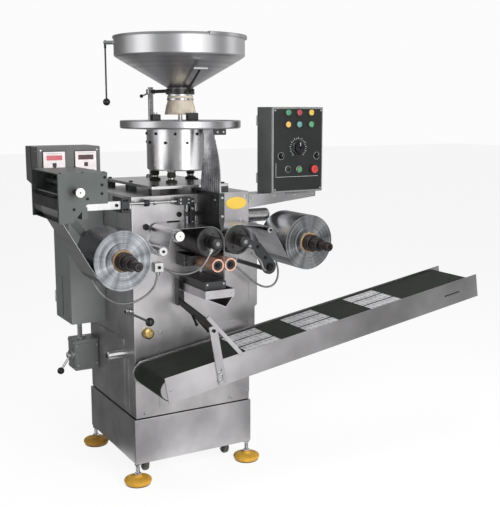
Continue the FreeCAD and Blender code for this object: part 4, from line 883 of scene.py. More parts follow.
@dataclass
class Conduits(Assembly):
    """The three conduits that feed the heated rollers, and the short hose at the right one."""

    left_feed: tuple[Place, ...] = ((-0.048, -0.556, 1.088), (-0.068, -0.554, 1.045), (-0.106, -0.534, 1.006),
                                    (-0.150, -0.490, 0.992), (-0.182, -0.442, 1.000), (-0.212, -0.408, 1.018))
    left_loop: tuple[Place, ...] = ((-0.225, -0.405, 1.006), (-0.228, -0.403, 0.952), (-0.262, -0.394, 0.903),
                                    (-0.328, -0.376, 0.866), (-0.394, -0.348, 0.864), (-0.444, -0.306, 0.902),
                                    (-0.462, -0.250, 0.956), (-0.458, -0.160, 0.990), (-0.449, -0.050, 1.012),
                                    (-0.444, 0.064, 1.016))
    right_loop: tuple[Place, ...] = ((0.182, -0.284, 0.992), (0.184, -0.338, 0.986), (0.222, -0.352, 0.946),
                                     (0.274, -0.354, 0.900), (0.336, -0.352, 0.862), (0.400, -0.342, 0.864),
                                     (0.440, -0.318, 0.910), (0.452, -0.276, 0.962), (0.450, -0.248, 1.012),
                                     (0.450, -0.248, 1.065))
    right_tail: tuple[Place, ...] = ((0.1485, -0.5625, 1.0715), (0.170, -0.563, 1.056), (0.197, -0.562, 1.034),
                                     (0.208, -0.556, 1.006), (0.222, -0.546, 0.988), (0.240, -0.534, 0.982))

    def build(self) -> None:
        """Build the conduits and the glands at their ends."""
        Conduit("left_feed_hose", "conduit_left_feed", self.left_feed, 0.273, "stiff").build()
        Conduit("left_loop_hose", "conduit_left_loop", self.left_loop, 0.734).build()
        Conduit("right_loop_hose", "conduit_right_loop", self.right_loop, 0.548).build()
        Conduit("right_tail_hose", "", self.right_tail, 0.128, "stiff").build()
        self.glands()

    def glands(self) -> None:
        """Put a hexagon gland where a hose enters a wall or a block."""
        glands = Piece("conduit_glands")
        for base, way in (((-212, -408, 1018), (-30, 34, 12)), ((-225, -405, 1000), DOWN),
                          ((-444, 58, 1016), FRONT_WAY), ((182, -290, 992), FRONT_WAY),
                          ((450, -248, 1060), DOWN)):
            spot = stand(base, way)
            glands.scatter(hexagon(11, 8), ZINC_SCREW, [spot])
            glands.scatter(turned([(0, 8), (9, 8), (8, 18), (0, 18)], (0, 0, 0), UP, 20, 1.0), ZINC_SCREW, [spot])
        glands.mount("machine", "bright_steel")


@dataclass
class Base(Assembly):
    """Plinth, levelling feet, and the castors that the feet hold off the floor."""

    half_width: float = 300.0
    half_depth: float = 292.5
    bottom: float = 95.0
    top: float = 306.0
    foot_x: float = 284.0
    foot_y: float = 277.0
    castor_x: float = 211.0
    castor_y: float = 182.0
    axle_z: float = 48.0
    wheel_half: float = 12.0
    wheel_radius: float = 34.0

    def build(self) -> None:
        """Build the plinth, feet and castors."""
        self.plinth()
        self.feet()
        self.castors()

    def plinth(self) -> None:
        """Fold the plinth from sheet, with a turned-in lip along its lower edge."""
        plinth = Piece("plinth_skirt")
        plinth.add(block((-self.half_width, -self.half_depth, self.bottom + 3),
                         (self.half_width, self.half_depth, self.top), 4.0), LEVEL_STEEL)
        plinth.add(block((-self.half_width + 3, -self.half_depth + 3, self.bottom),
                         (self.half_width - 3, self.half_depth - 3, self.bottom + 6), 1.5), LEVEL_STEEL)
        # Two near-black strips under the plinth's bottom are painted shade beneath it.
        for side in (-1, 1):
            plinth.add(block((side * self.half_width * 0.5 - 60, -self.half_depth + 10, self.bottom - 1.5),
                             (side * self.half_width * 0.5 + 60, self.half_depth - 10, self.bottom + 2), 0.6),
                       PAINTED_SHADE_BLACK)
        plinth.mount("machine", "stainless", "plinth")

    def feet(self) -> None:
        """Stand the machine on four yellow pads on threaded studs."""
        feet = Piece("levelling_pads")
        spots = [stand((self.foot_x * i, self.foot_y * j, 0), UP) for i in (-1, 1) for j in (-1, 1)]
        pad = turned([(0, 3), (57, 3), (61, 10), (64, 17), (61, 25), (47, 31), (24, 33.5), (18, 37), (17, 44),
                      (0, 44)], (0, 0, 0), UP, 56, 2.0)
        feet.scatter(pad, YELLOW_PAD, spots)
        grip = turned([(0, 0), (55.5, 0), (57.8, 2), (58.6, 7), (0, 7)], (0, 0, 0), UP, 56, 0.8)
        feet.scatter(grip, BLACK_RUBBER, spots)
        feet.scatter(hexagon(16, 9), ZINC_SCREW, [s @ Matrix.Translation((0, 0, 43)) for s in spots])
        feet.scatter(hexagon(16, 8), ZINC_SCREW, [s @ Matrix.Translation((0, 0, 86)) for s in spots])
        thread = [(0.0, 40.0)]
        for k in range(20):
            thread += [(9.0, 50.5 + 2 * k), (8.2, 51.5 + 2 * k)]
        thread += [(8.2, 94.5), (0.0, 94.5)]
        feet.scatter(turned(thread, (0, 0, 0), UP, 16), ZINC_SCREW, spots)
        feet.mount("machine", "yellow_pad", "levelling_feet")

    def castors(self) -> None:
        """Hang a fork and its cream wheel under each corner."""
        forks = Piece("castor_forks")
        forks.add(copy_of("caster_forks", 0.8), DARK_STEEL)
        for i, across in ((-1, "left"), (1, "right")):
            for j, along in ((-1, "front"), (1, "back")):
                x, y = self.castor_x * i, self.castor_y * j
                for side in (-1, 1):
                    forks.add(turned([(0, 0), (9, 0), (9, 4), (0, 4)], (x + side * 18, y, self.axle_z),
                                     (side, 0, 0), 6, 0.6), ZINC_SCREW)
                forks.screws([(x + a, y + b, self.bottom - 8) for a in (-13, 13) for b in (-15, 15)], DOWN, 3.5, 2.5)
                self.wheel(x, y, f"{along}_{across}")
        forks.mount("machine", "dark_steel", "caster_forks")

    def wheel(self, x: float, y: float, corner: str) -> None:
        """Turn one wheel with a crowned tread and a sunk web.

        Args:
            x: place of its middle.
            y: place of its middle.
            corner: the corner's name.
        """
        half, radius = self.wheel_half, self.wheel_radius
        profile = [(5.3, -half), (12, -half), (13, -half + 4), (25, -half + 4), (27, -half + 0.5), (31, -half + 0.5),
                   (radius - 0.4, -half + 4), (radius, 0), (radius - 0.4, half - 4), (31, half - 0.5),
                   (27, half - 0.5), (25, half - 4), (13, half - 4), (12, half), (5.3, half), (5.3, -half)]
        wheel = Piece(f"castor_wheel_{corner}")
        wheel.add(turned(profile, (x, y, self.axle_z), RIGHT_WAY, 44, 0.8), WHEEL_NYLON)
        ribs = [stand((x, y, self.axle_z), RIGHT_WAY) @ Matrix.Rotation(k * math.tau / 6, 4, "Z") for k in range(6)]
        wheel.scatter(block((12, -1.2, -half + 2), (26, 1.2, half - 2), 0.4), WHEEL_NYLON, ribs)
        wheel.mount(f"wheel_{corner}", "wheel_plastic", f"caster_wheel_{corner}")


@dataclass
class Cabinet(Assembly):
    """The stainless cabinet, its covers and bosses, and the fittings on its front."""

    left: float = -292.0
    right: float = 292.0
    front: float = -290.0
    back: float = 290.0
    floor: float = 306.0
    bottom: float = 310.0
    top: float = 1313.0

    def build(self) -> None:
        """Build the cabinet and its covers."""
        self.body()
        self.covers()
        self.fittings()
        self.lock()

    def body(self) -> None:
        """Fold the body over a dark shadow gap and weld its bosses on."""
        body = Piece("cabinet_shell")
        body.add(block((self.left, self.front, self.bottom), (self.right, self.back, self.top), 4.0), SATIN_STEEL)
        # A near-black block in the recess above the plinth is painted shade in the gap.
        body.add(block((self.left + 5, self.front + 5, self.floor), (self.right - 5, self.back - 5, self.bottom + 1)),
                 PAINTED_SHADE_BLACK)
        body.add(turned([(0, -1), (23, -1), (23, 96), (20, 100), (0, 100)], (self.left, -206, 600), LEFT_WAY, 40, 0.8),
                 BRIGHT_STEEL)
        body.add(turned([(0, 99), (12, 99), (12, 101), (0, 101)], (self.left, -206, 600), LEFT_WAY, 24, 0.5),
                 DARK_STEEL)
        body.add(turned([(0, -1), (17, -1), (17, 12), (0, 12)], (self.left, -258, 803), LEFT_WAY, 32, 1.0),
                 BRIGHT_STEEL)
        dome = [(0, -1), (32, -1), (32, 4), (31, 5), (31, 104), (30, 111), (25, 117), (16, 119.5), (0, 120)]
        body.add(turned(dome, (self.right, -258, 1195), RIGHT_WAY, 48, 0.6), BRIGHT_STEEL)
        body.add(turned([(0, 119), (7, 119), (7, 121), (0, 121)], (self.right, -258, 1195), RIGHT_WAY, 6, 0.4),
                 BLACK_SCREW)
        body.mount("machine", "stainless", "cabinet_body")

    def covers(self) -> None:
        """Screw the front, left and back covers on and fold the stepped box on the right."""
        covers = Piece("cabinet_panels")
        covers.add(block((-176, self.front - 2, 346), (self.right, self.front + 0.5, 709), 1.2), SATIN_STEEL)
        covers.screws([(x, self.front - 2, z) for x in (-164, 278) for z in (358, 528, 697)], FRONT_WAY, 4.5, 2.2)
        covers.add(block((self.left - 5, -170, 338), (self.left + 0.5, 153, 655), 1.5), SATIN_STEEL)
        covers.screws([(self.left - 5, y, z) for y in (-158, 141) for z in (350, 643)], LEFT_WAY, 4.5, 2.2)
        covers.add(block((self.left - 3, -216, 330), (self.left + 0.5, -198, 577), 1.0), LEVEL_STEEL)
        covers.add(slab([(self.right - 0.5, 640), (334, 640), (334, 756), (347, 766), (347, 1160),
                         (self.right - 0.5, 1160)], -272, 150, 2.0), SATIN_STEEL)
        covers.screws([(347, y, z) for y in (-258, 136) for z in (785, 1145)], RIGHT_WAY, 4.5, 2.2)
        covers.add(block((334, -262, 655), (336, -252, 745), 0.8), BRIGHT_STEEL)
        covers.add(block((-230, self.back - 0.5, 420), (230, self.back + 1.5, 1240), 1.2), SATIN_STEEL)
        covers.screws([(x, self.back + 1.5, z) for x in (-216, 0, 216) for z in (434, 830, 1226)], BACK_WAY, 5.0, 2.5)
        # Two near-black slots in the back cover are painted shade in their openings.
        for x in (-70, 70):
            covers.add(block((x - 3, self.back + 1, 1050), (x + 3, self.back + 3, 1120), 0.8), PAINTED_SHADE_BLACK)
        covers.mount("machine", "stainless", "cabinet_covers")

    def fittings(self) -> None:
        """Put the small fittings on the upper front: bolts, slot and the bare yellow oval."""
        small = Piece("front_fittings")
        small.screws([(-67, self.front, 1225)], FRONT_WAY, 12, 7, BLACK_SCREW)
        small.screws([(186, self.front, 330), (-245, self.front, 330),
                      (250, self.front, 1180), (-270, self.front, 1290), (270, self.front, 1290)], FRONT_WAY, 8, 6)
        small.scatter(hexagon(15, 10), BLACK_SCREW, [stand((-227, self.front, 1179), FRONT_WAY)])
        small.add(block((-22, self.front - 26, 1178), (-2, self.front + 0.4, 1296), 2.0), BLACK_PAINT)
        small.add(block((-40, self.front - 18, 1216), (22, self.front + 0.4, 1236), 2.0), DARK_STEEL)
        small.add(rod((-34, self.front - 12, 1180), (-34, self.front - 12, 1300), 5, 20, 0.6), ZINC_SCREW)
        small.add(rod((10, self.front - 12, 1190), (10, self.front - 12, 1262), 4, 20, 0.6), BRIGHT_STEEL)
        small.screws([(-12, self.front - 26, z) for z in (1190, 1250, 1284)], FRONT_WAY, 6, 5, ZINC_SCREW)
        small.scatter(hexagon(9, 8), ZINC_SCREW,
                      [stand((x, self.front - 12, z), UP) for x, z in ((-34, 1240), (10, 1262))])
        # A near-black slot is painted shade in its opening.
        small.add(block((-126, self.front - 1.2, 1188), (-62, self.front + 0.4, 1198), 0.8), PAINTED_SHADE_BLACK)
        small.add(block((-55, self.front - 8, 1160), (10, self.front + 0.4, 1172), 1.5), BRIGHT_STEEL)
        small.scatter(hexagon(9, 7), BLACK_SCREW, [stand((x, self.front - 8, 1166), FRONT_WAY) for x in (-42, -6)])
        oval = turned([(0, -0.5), (27.5, -0.5), (28.5, 1), (28.5, 2.4), (26, 3.2), (0, 3.2)], (0, 0, 0), UP, 56, 0.4)
        oval.transform(stand((223, self.front, 1260), FRONT_WAY) @ Matrix.Diagonal((54.5 / 28.5, 1, 1, 1)))
        small.add(oval, YELLOW_ENAMEL)
        small.mount("machine", "stainless")

    def lock(self) -> None:
        """Turn the brass locking knob with its knurled rim."""
        knob = Piece("brass_lock_knob")
        head = turned([(0, 0), (16, 0), (23, 3), (23, 17), (18, 18), (15, 24.3), (0, 24.3)], (-229, -314, 702),
                      BACK_WAY, 40, 0.7)
        centre = Vector((-229, 0, 702))
        knob.add(knurl(head, lambda f: (f.calc_center_median() - centre).xz.length > 22 and f.calc_area() > 20,
                       0.8, 0.5), BRASS)
        knob.mount("machine", "brass", "brass_knob")


@dataclass
class Feeder(Assembly):
    """Base plate on spacers, drum on its mounts, disc, and the fittings on the disc."""

    centre_x: float = 60.0
    centre_y: float = -50.0
    plate_bottom: float = 1340.0
    plate_top: float = 1353.0
    drum_bottom: float = 1408.0
    disc_bottom: float = 1598.0
    disc_top: float = 1636.0
    drum_radius: float = 160.0
    disc_radius: float = 282.0
    seat_radius: float = 93.34

    def build(self) -> None:
        """Build the feeder from its plate up."""
        self.plate()
        self.drum()
        self.disc()
        self.on_disc()

    def plate(self) -> None:
        """Mill the base plate and set it on six spacers."""
        plate = Piece("feeder_base_plate")
        plate.add(block((-195, -290, self.plate_bottom), (184, 290, self.plate_top), 1.4), BRIGHT_STEEL)
        for x in (-195, 144):
            for y in (-290, -20, 250):
                plate.add(block((x, y, 1312.5), (x + 40, y + 40, self.plate_bottom + 0.5), 1.5), DARK_STEEL)
                plate.screws([(x + 20, y + 20, self.plate_top)], UP, 9, 6, BLACK_SCREW)
        plate.mount("machine", "stainless", "feeder_plate")

    def drum(self) -> None:
        """Turn the polished drum, set its two rows of screws, and stand it on four mounts."""
        drum = Piece("vibrator_drum")
        base = (self.centre_x, self.centre_y, self.drum_bottom)
        profile = [(0, 0), (152, 0), (158, 2), (self.drum_radius, 7), (self.drum_radius, 190), (0, 190)]
        drum.add(turned(profile, base, UP, 96, 0.8), DRUM_STEEL)
        seats = []
        for row, start in ((1576.0, -69.8), (1536.0, -86.9)):
            for k in range(10):
                turn = math.radians(start + 36 * k)
                way = Vector((math.sin(turn), -math.cos(turn), 0))
                seats.append(stand(Vector((self.centre_x, self.centre_y, row)) + way * self.drum_radius, way))
        drum.scatter(cap_screw(6.5, 5), BLACK_SCREW, seats)
        for a in (-1, 1):
            for b in (-1, 1):
                foot = (self.centre_x + a * self.seat_radius, self.centre_y + b * self.seat_radius, self.plate_top)
                drum.add(turned([(0, 0), (26, 0), (26, 10), (17, 12), (15, 16), (15, 24), (20, 28), (20, 44), (15, 48),
                                 (15, 56), (0, 56)], foot, UP, 32, 0.8), BLACK_RUBBER)
                drum.scatter(hexagon(21, 7), ZINC_SCREW, [stand(foot, UP), stand(foot, UP)
                                                          @ Matrix.Translation((0, 0, 49))])
                drum.add(turned([(13, 16), (17.5, 17), (17.5, 23), (13, 24), (13, 16)], foot, UP, 32, 0.4), ZINC_SCREW)
        drum.mount("machine", "polished", "feeder_drum")

    def disc(self) -> None:
        """Turn the disc with its raised rim and flat pan."""
        disc = Piece("feeder_bowl_disc")
        base = (self.centre_x, self.centre_y, self.disc_bottom)
        profile = [(0, 0), (272, 0), (280, 3), (self.disc_radius, 8), (self.disc_radius, 34), (279, 38), (268, 38),
                   (264, 24), (0, 24)]
        disc.add(turned(profile, base, UP, 128, 1.2), DISC_STEEL)
        disc.mount("machine", "stainless", "bowl_disc")

    def on_disc(self) -> None:
        """Put the clamp, stud and scraper block on the disc and the drive block under it."""
        small = Piece("disc_clamps")
        floor = self.disc_top - 14
        small.add(block((-130, -168, floor), (-92, -132, floor + 42), 2.5), BAKELITE)
        small.screws([(-111, -150, floor + 42)], UP, 9, 8)
        stud = [(0, 0), (13, 0), (13, 8), (10, 10), (10, 40), (7, 46), (0, 46)]
        small.add(turned(stud, (16, -140, floor), UP, 24, 1), BRIGHT_STEEL)
        small.add(block((46, -165, floor), (97, -135, floor + 48), 2.5), BAKELITE)
        small.screws([(60, -150, floor + 48), (83, -150, floor + 48)], UP, 6, 5)
        small.add(block((116, -286, self.disc_bottom - 26), (176, -240, self.disc_bottom + 0.5), 2.0), DARK_STEEL)
        small.screws([(131, -286, 1585), (161, -286, 1585)], FRONT_WAY, 5, 4)
        small.mount("machine", "black_plastic", "disc_fittings")


@dataclass
class Hopper(Assembly):
    """Hopper, half lid, canvas boot, stand, shutter lever and hanging rod."""

    centre_x: float = 60.0
    centre_y: float = -50.0
    rim_radius: float = 302.0
    neck_bottom: float = 1700.0
    wall: float = 2.5

    def build(self) -> None:
        """Build the hopper and what hangs on it."""
        self.shell()
        self.lid()
        self.boot()
        self.post()
        self.shutter()
        self.hanger()

    def at(self, turn: float, radius: float, height: float) -> Vector:
        """Give a point by its turn from the front, radius and height."""
        angle = math.radians(turn)
        return Vector((self.centre_x + math.sin(angle) * radius, self.centre_y - math.cos(angle) * radius, height))

    def shell(self) -> None:
        """Spin the hopper from sheet with a rolled bead, and weld the rod's pin on."""
        hopper = Piece("hopper_bin")
        r, t = self.rim_radius, self.wall
        profile = [(58, 0), (58, 78), (60, 84), (150, 136.5), (240, 188.5), (290, 218), (299, 224.5), (r, 232),
                   (r, 306), (r + 3.4, 305), (r + 6, 310), (r + 3.4, 315), (r - 1, 316), (r - 4.6, 313.5),
                   (r - 5.6, 309),
                   (r - t, 306), (r - t, 233), (297, 227), (288.6, 220.4), (238.6, 191), (148.6, 139), (58.4, 87),
                   (55.5, 79), (55.5, 0), (58, 0)]
        hopper.add(turned(profile, (self.centre_x, self.centre_y, self.neck_bottom), UP, 128), HOPPER_STEEL)
        seam = turned([(r - 4, 226.5), (r + 0.4, 229), (r + 0.9, 232), (r + 0.3, 235), (r - 4, 237), (r - 4, 226.5)],
                      (self.centre_x, self.centre_y, self.neck_bottom), UP, 128)
        hopper.add(seam, HOPPER_STEEL)
        way = Vector((-math.cos(math.radians(30)), math.sin(math.radians(30)), 0))
        root = Vector((self.centre_x, self.centre_y, 1990)) + way * (r - 1)
        hopper.add(turned([(0, 0), (4, 0), (4, 51), (0, 51)], root, way, 16, 0.5), ZINC_SCREW)
        hopper.add(turned([(0, 0), (12, 0), (12, 4), (9, 6), (9, 37.2), (0, 37.2)], root, way, 24, 0.6), ZINC_SCREW)
        hopper.mount("machine", "stainless", "hopper")

    def lid(self) -> None:
        """Press the half lid, with a turned-down skirt and a slack tongue at its right."""
        lid = Piece("hopper_half_lid")
        lid.add(copy_of("hopper_lid", 0.9), LEVEL_STEEL)
        lid.add(block((self.centre_x + 6, self.centre_y - 24, 2018.5), (self.centre_x + 20, self.centre_y + 24, 2021)),
                LEVEL_STEEL)
        lid.add(block((self.centre_x + 302, self.centre_y - 32, 1992),
                      (self.centre_x + 311, self.centre_y + 6, 2008), 1), BRIGHT_STEEL)
        lid.mount("machine", "stainless", "hopper_lid")

    def boot(self) -> None:
        """Gather the canvas boot round the neck in soft folds under its tape."""
        profile = [(58.6, 86), (59.8, 86), (60.2, 78), (60.0, 62), (61.6, 54), (66, 40), (69.4, 24), (72.4, 8),
                   (73.6, 0), (72.4, 0), (71, 8), (68, 24), (64.6, 40), (60.4, 54), (58.9, 62), (58.8, 78),
                   (58.6, 86)]
        solid = turned(profile, (0, 0, 0), UP, 128)
        chance = random.Random(11)
        waves = [(n, chance.uniform(0, math.tau), chance.uniform(0.6, 1.5)) for n in (7, 11, 16, 23)]
        for vert in solid.verts:
            turn = math.atan2(vert.co.y, vert.co.x)
            slack = min(1.0, max(0.0, 1.1 - vert.co.z / 60))
            fold = sum(size * math.sin(n * turn + start + vert.co.z * 0.02 * n) for n, start, size in waves)
            vert.co.xy *= 1 + slack * fold * 0.6 / vert.co.xy.length
        solid.transform(Matrix.Translation((self.centre_x, self.centre_y, 1662)))
        cloth = Piece("canvas_boot")
        cloth.add(solid, CANVAS)
        boot = cloth.mount("machine", "boot_fabric", "hopper_boot")
        tie = Piece("boot_tape")
        tie.add(turned([(60.6, 65), (62.4, 66), (62.4, 74), (60.6, 75), (60.6, 65)],
                       (self.centre_x, self.centre_y, 1662), UP, 64, 0.4), ZINC_SCREW)
        tie.add(block((self.centre_x - 9, self.centre_y - 68, 1726),
                      (self.centre_x + 3, self.centre_y - 61.5, 1738), 1), ZINC_SCREW)
        tape = tie.mount("machine", "bright_steel")

    def post(self) -> None:
        """Dress the post, its flange and the collar that holds the neck."""
        post = Piece("hopper_post")
        post.add(copy_of("hopper_stand", 1.2), GUIDE_STEEL)
        post.recolour(BAKELITE, lambda c: c.x < -8 and c.z < 1762)
        post.recolour(DARK_STEEL, lambda c: c.z > 1740 and c.y < 180)
        post.screws([(40 + 22 * a, 250 + 22 * b, 1363) for a, b in ((-1, 0), (1, 0), (0, -1), (0, 1))], UP, 4.5, 4,
                    BLACK_SCREW)
        ears = [stand(self.at(turn, 65, 1772), self.at(turn, 1, 0) - self.at(0, 0, 0)) for turn in (-70, 24)]
        post.scatter(block((-8, -10, 0), (8, 10, 9), 1.5), DARK_STEEL, ears)
        post.scatter(cap_screw(5, 5), BLACK_SCREW, [e @ Matrix.Translation((0, 0, 9)) for e in ears])
        post.mount("machine", "bright_steel", "hopper_stand")

    def shutter(self) -> None:
        """Dress the shutter's ring and its long lever with a pale grip."""
        lever = Piece("shutter_handle")
        lever.add(copy_of("shutter_lever", 0.7), DARK_STEEL)
        grip = self.at(-4, 250, 1863.2)
        side = Vector((math.cos(math.radians(-4)), math.sin(math.radians(-4)), 0))
        lever.add(rod(grip - side * 33.5, grip + side * 33.5, 6.4, 20, 1.5), ZINC_SCREW)
        lever.mount("shutter", "bright_steel", "shutter_lever")

    def hanger(self) -> None:
        """Dress the rod that hangs at the rim and its black ball."""
        hanger = Piece("hanging_tie_rod")
        way = Vector((-math.cos(math.radians(30)), math.sin(math.radians(30)), 0))
        eye = Vector((self.centre_x, self.centre_y, 1990)) + way * 344
        ring = [(4.15, -5), (10, -5), (11, -4), (11, 4), (10, 5), (4.15, 5), (4.15, -5)]
        hanger.add(turned(ring, eye, way, 32), ZINC_SCREW)
        hanger.add(turned([(0, 10), (5.5, 10), (5.5, 24), (4, 27), (4, 256), (0, 256)], eye, DOWN, 18, 0.4),
                   DARK_STEEL)
        hanger.add(ball(eye + Vector((0, 0, -270)), 17), BAKELITE)
        hanger.mount("hanger_rod", "bright_steel", "hanging_rod")


@dataclass
class FeedTracks(Assembly):
    """The fanned bundle of feed tracks and the grooved block that it leads into."""

    def build(self) -> None:
        """Dress the tracks, with darker copies beside them as painted shade in the grooves, and the block."""
        tracks = Piece("feed_track_bundle")
        tracks.add(copy_of("feed_tracks", 0.5), TRACK_STEEL)
        # Two shifted copies in darker steel stand for the grooves' walls: painted shade.
        for across, back in ((-2.6, 4.0), (2.6, 7.0)):
            shaded = copy_of("feed_tracks")
            shaded.transform(Matrix.Translation((across, back, 0)))
            tracks.add(shaded, TRACK_PAINTED_SHADE)
        middle = sum(v.co.x for v in tracks.shape.verts) / len(tracks.shape.verts)
        for vert in tracks.shape.verts:
            pinch = 0.28 * min(1.0, max(0.0, (vert.co.z - 1400) / 190))
            vert.co.x += (middle + 6 - vert.co.x) * pinch
        tracks.mount("machine", "bright_steel", "feed_tracks")
        guide = Piece("feed_guide_block")
        guide.add(copy_of("feed_block", 0.8), DARK_STEEL)
        guide.screws([(38, -500, z) for z in (1232, 1312)], FRONT_WAY, 6, 5)
        guide.add(block((22, -470, 1296), (54, -452, 1304), 1.0), BRIGHT_STEEL)
        guide.mount("machine", "dark_steel", "feed_block")


@dataclass
class SealingUnit(Assembly):
    """Heated sealing rollers with slip rings, pulling rollers, and the arm that closes them."""

    front: float = -521.0
    back: float = -302.5
    wall: float = -290.3
    ring_front: float = -590.0
    seal_radius: float = 64.5
    seal_height: float = 1128.0
    pull_height: float = 1022.0
    seals: tuple[tuple[str, float, float, Place], ...] = (
        ("left", -29.0, -521.3, (-0.42, 0.0, -0.907)), ("right", 105.0, -533.9, (0.82, 0.0, -0.572)))
    pulls: tuple[tuple[str, float], ...] = (("left", 7.0), ("right", 69.0))

    def build(self) -> None:
        """Build both pairs of rollers and what carries them."""
        for side, x, _, _ in self.seals:
            self.seal_roller(side, x)
        self.slip_rings()
        for side, x in self.pulls:
            self.pull_roller(side, x)
        self.arm()
        self.bearings()

    def seal_roller(self, side: str, x: float) -> None:
        """Turn a sealing roller, press its waffle and bolt its heater cover.

        Args:
            side: left or right.
            x: place of its axis.
        """
        centre = Vector((x, 0, self.seal_height))
        length = self.back - self.front
        rows = 26
        outer = [(self.seal_radius, 4 + (length - 8) * k / rows) for k in range(rows + 1)]
        profile = [(0, 0), (20, 0), (20, 7), (55.5, 7), (55.5, 0), (self.seal_radius - 1.5, 0),
                   (self.seal_radius, 1.5)] + outer + [(self.seal_radius, length - 1.5),
                                                       (self.seal_radius - 1.5, length), (0, length)]
        barrel = turned(profile, (x, self.front, self.seal_height), BACK_WAY, 80)
        knurl(barrel, lambda f: (f.calc_center_median() - centre).xz.length > self.seal_radius - 0.6
              and f.calc_area() > 25, 1.1, 1.3)
        roller = Piece(f"sealing_roller_{side}")
        roller.add(barrel, ROLLER_STEEL)
        roller.add(rod((x, self.back - 1, self.seal_height), (x, self.wall, self.seal_height), 12, 32), BRIGHT_STEEL)
        roller.add(rod((x, -583.7, self.seal_height), (x, self.front + 1, self.seal_height), 8, 24), BRIGHT_STEEL)
        spots = [centre + Vector((math.cos(k * math.tau / 6), 0, math.sin(k * math.tau / 6))) * 38 for k in range(6)]
        roller.screws([(p.x, self.front + 7, p.z) for p in spots], FRONT_WAY, 5.5, 5, BLACK_SCREW)
        roller.recolour(DARK_STEEL, lambda c: c.y < self.front + 7.5)
        groove = [(22, 0), (25, 0), (25, 1.2), (22, 1.2), (22, 0)]
        roller.add(turned(groove, (x, self.front + 7, self.seal_height), FRONT_WAY, 40, 0.4), BRONZE)
        # Twelve near-black notch marks round the face are painted shade in the notches.
        marks = [stand((x, self.front, self.seal_height), FRONT_WAY) @ Matrix.Rotation(k * math.tau / 12, 4, "Z")
                 for k in range(12)]
        roller.scatter(block((58, -0.7, -0.3), (62.5, 0.7, 0.3)), PAINTED_SHADE_BLACK, marks)
        roller.mount(f"seal_{side}", "dark_steel", f"seal_roller_{side}")

    def slip_rings(self) -> None:
        """Turn the slip ring housings with their bands and cable fittings."""
        rings = Piece("slip_ring_housings")
        for _, x, ring_back, fitting_way in self.seals:
            base = Vector((x, self.ring_front, self.seal_height))
            length = ring_back - self.ring_front
            profile = [(8.1, length), (8.1, 6), (0, 6), (0, 0), (19, 0), (22, 2), (25.9, 5), (25.9, 16), (23, 18),
                       (23, 22), (25.9, 24), (25.9, length - 18), (23, length - 16), (23, length - 12),
                       (25.9, length - 10), (25.9, length), (8.1, length)]
            body = turned(profile, base, BACK_WAY, 40)
            centre = Vector((x, 0, self.seal_height))
            knurl(body, lambda f: (f.calc_center_median() - centre).xz.length > 25.2 and f.calc_area() > 30, 1.0, 0.8)
            rings.add(body, DARK_STEEL)
            for h in (19.0, length - 15.0):
                band = [(22, h), (24.4, h), (24.4, h + 2), (22, h + 2), (22, h)]
                rings.add(turned(band, base, BACK_WAY, 40, 0.3), BRONZE)
            rings.add(turned([(0, 0), (9, 0), (9, 2), (0, 2)], base, FRONT_WAY, 28, 0.6), GUIDE_STEEL)
            way = Vector(fitting_way).normalized()
            middle = Vector((x, (self.ring_front + ring_back) / 2, self.seal_height))
            rings.add(turned([(0, 0), (8, 0), (8, 20), (6.5, 22), (6.5, 27), (0, 27)], middle + way * 22.5, way, 24,
                             0.6), ZINC_SCREW)
            rings.scatter(hexagon(10.5, 7), ZINC_SCREW, [stand(middle + way * 31, way)])
        rings.mount("machine", "dark_steel", "slip_rings")

    def pull_roller(self, side: str, x: float) -> None:
        """Sleeve a pulling roller with silicone over its steel core.

        Args:
            side: left or right.
            x: place of its axis.
        """
        base = (x, self.front, self.pull_height)
        length = self.back - self.front
        roller = Piece(f"pulling_roller_{side}")
        sleeve = [(22.5, 0), (28.5, 0)]
        for k in range(1, 10):
            h = length * k / 10
            sleeve += [(28.5, h - 1.2), (27.3, h), (28.5, h + 1.2)]
        sleeve += [(28.5, length), (22.5, length), (22.5, 0)]
        roller.add(turned(sleeve, base, BACK_WAY, 44), SILICONE)
        roller.add(turned([(0, 3), (22.6, 3), (22.6, length), (0, length)], base, BACK_WAY, 44, 0.6), DARK_STEEL)
        roller.add(rod((x, self.back - 1, self.pull_height), (x, self.wall, self.pull_height), 12, 28), BRIGHT_STEEL)
        roller.add(turned([(0, -2.8), (13, -2.8), (13, -1), (0, -1)], base, FRONT_WAY, 32, 0.6), BLACK_SCREW)
        roller.scatter(hexagon(8, 9), BLACK_SCREW, [stand((x, self.front + 3, self.pull_height), FRONT_WAY)])
        roller.mount(f"pull_{side}", "silicone", f"pull_roller_{side}")

    def arm(self) -> None:
        """Dress the black arm that closes the right roller, with its bolts."""
        arm = Piece("roller_closing_arm")
        arm.add(copy_of("roller_arm", 2.0), BLACK_PAINT)
        face = -533.6
        arm.add(turned([(9, 0), (20, 0), (20, 1.5), (9, 1.5), (9, 0)], (105, face, 1128), FRONT_WAY, 36, 0.5),
                BRIGHT_STEEL)
        arm.scatter(hexagon(13, 9), BLACK_SCREW, [stand((258, face, 997), FRONT_WAY)])
        arm.add(turned([(0, 0), (19, 0), (19, 2), (0, 2)], (258, face, 997), FRONT_WAY, 36, 0.5), BLACK_SCREW)
        arm.screws([(198, face, 1092), (236, face, 1040)], FRONT_WAY, 7, 5, BLACK_SCREW)
        arm.add(turned([(10.3, 0), (17, 0), (17, 9), (10.3, 9), (10.3, 0)], (236, -290, 990), FRONT_WAY, 32, 0.8),
                BRIGHT_STEEL)
        arm.mount("machine", "black_paint", "roller_arm")
        bracket = Piece("pulling_roller_bracket")
        bracket.add(block((-84, -372, 1002), (-28, -289.5, 1058), 3.0), DARK_STEEL)
        bracket.add(block((-76, -420, 1040), (-30, -370, 1056), 2.0), BLACK_PAINT)
        bracket.screws([(-74, -372, 1012), (-38, -372, 1012), (-74, -372, 1030)], FRONT_WAY, 5, 4, BLACK_SCREW)
        bracket.mount("machine", "dark_steel")

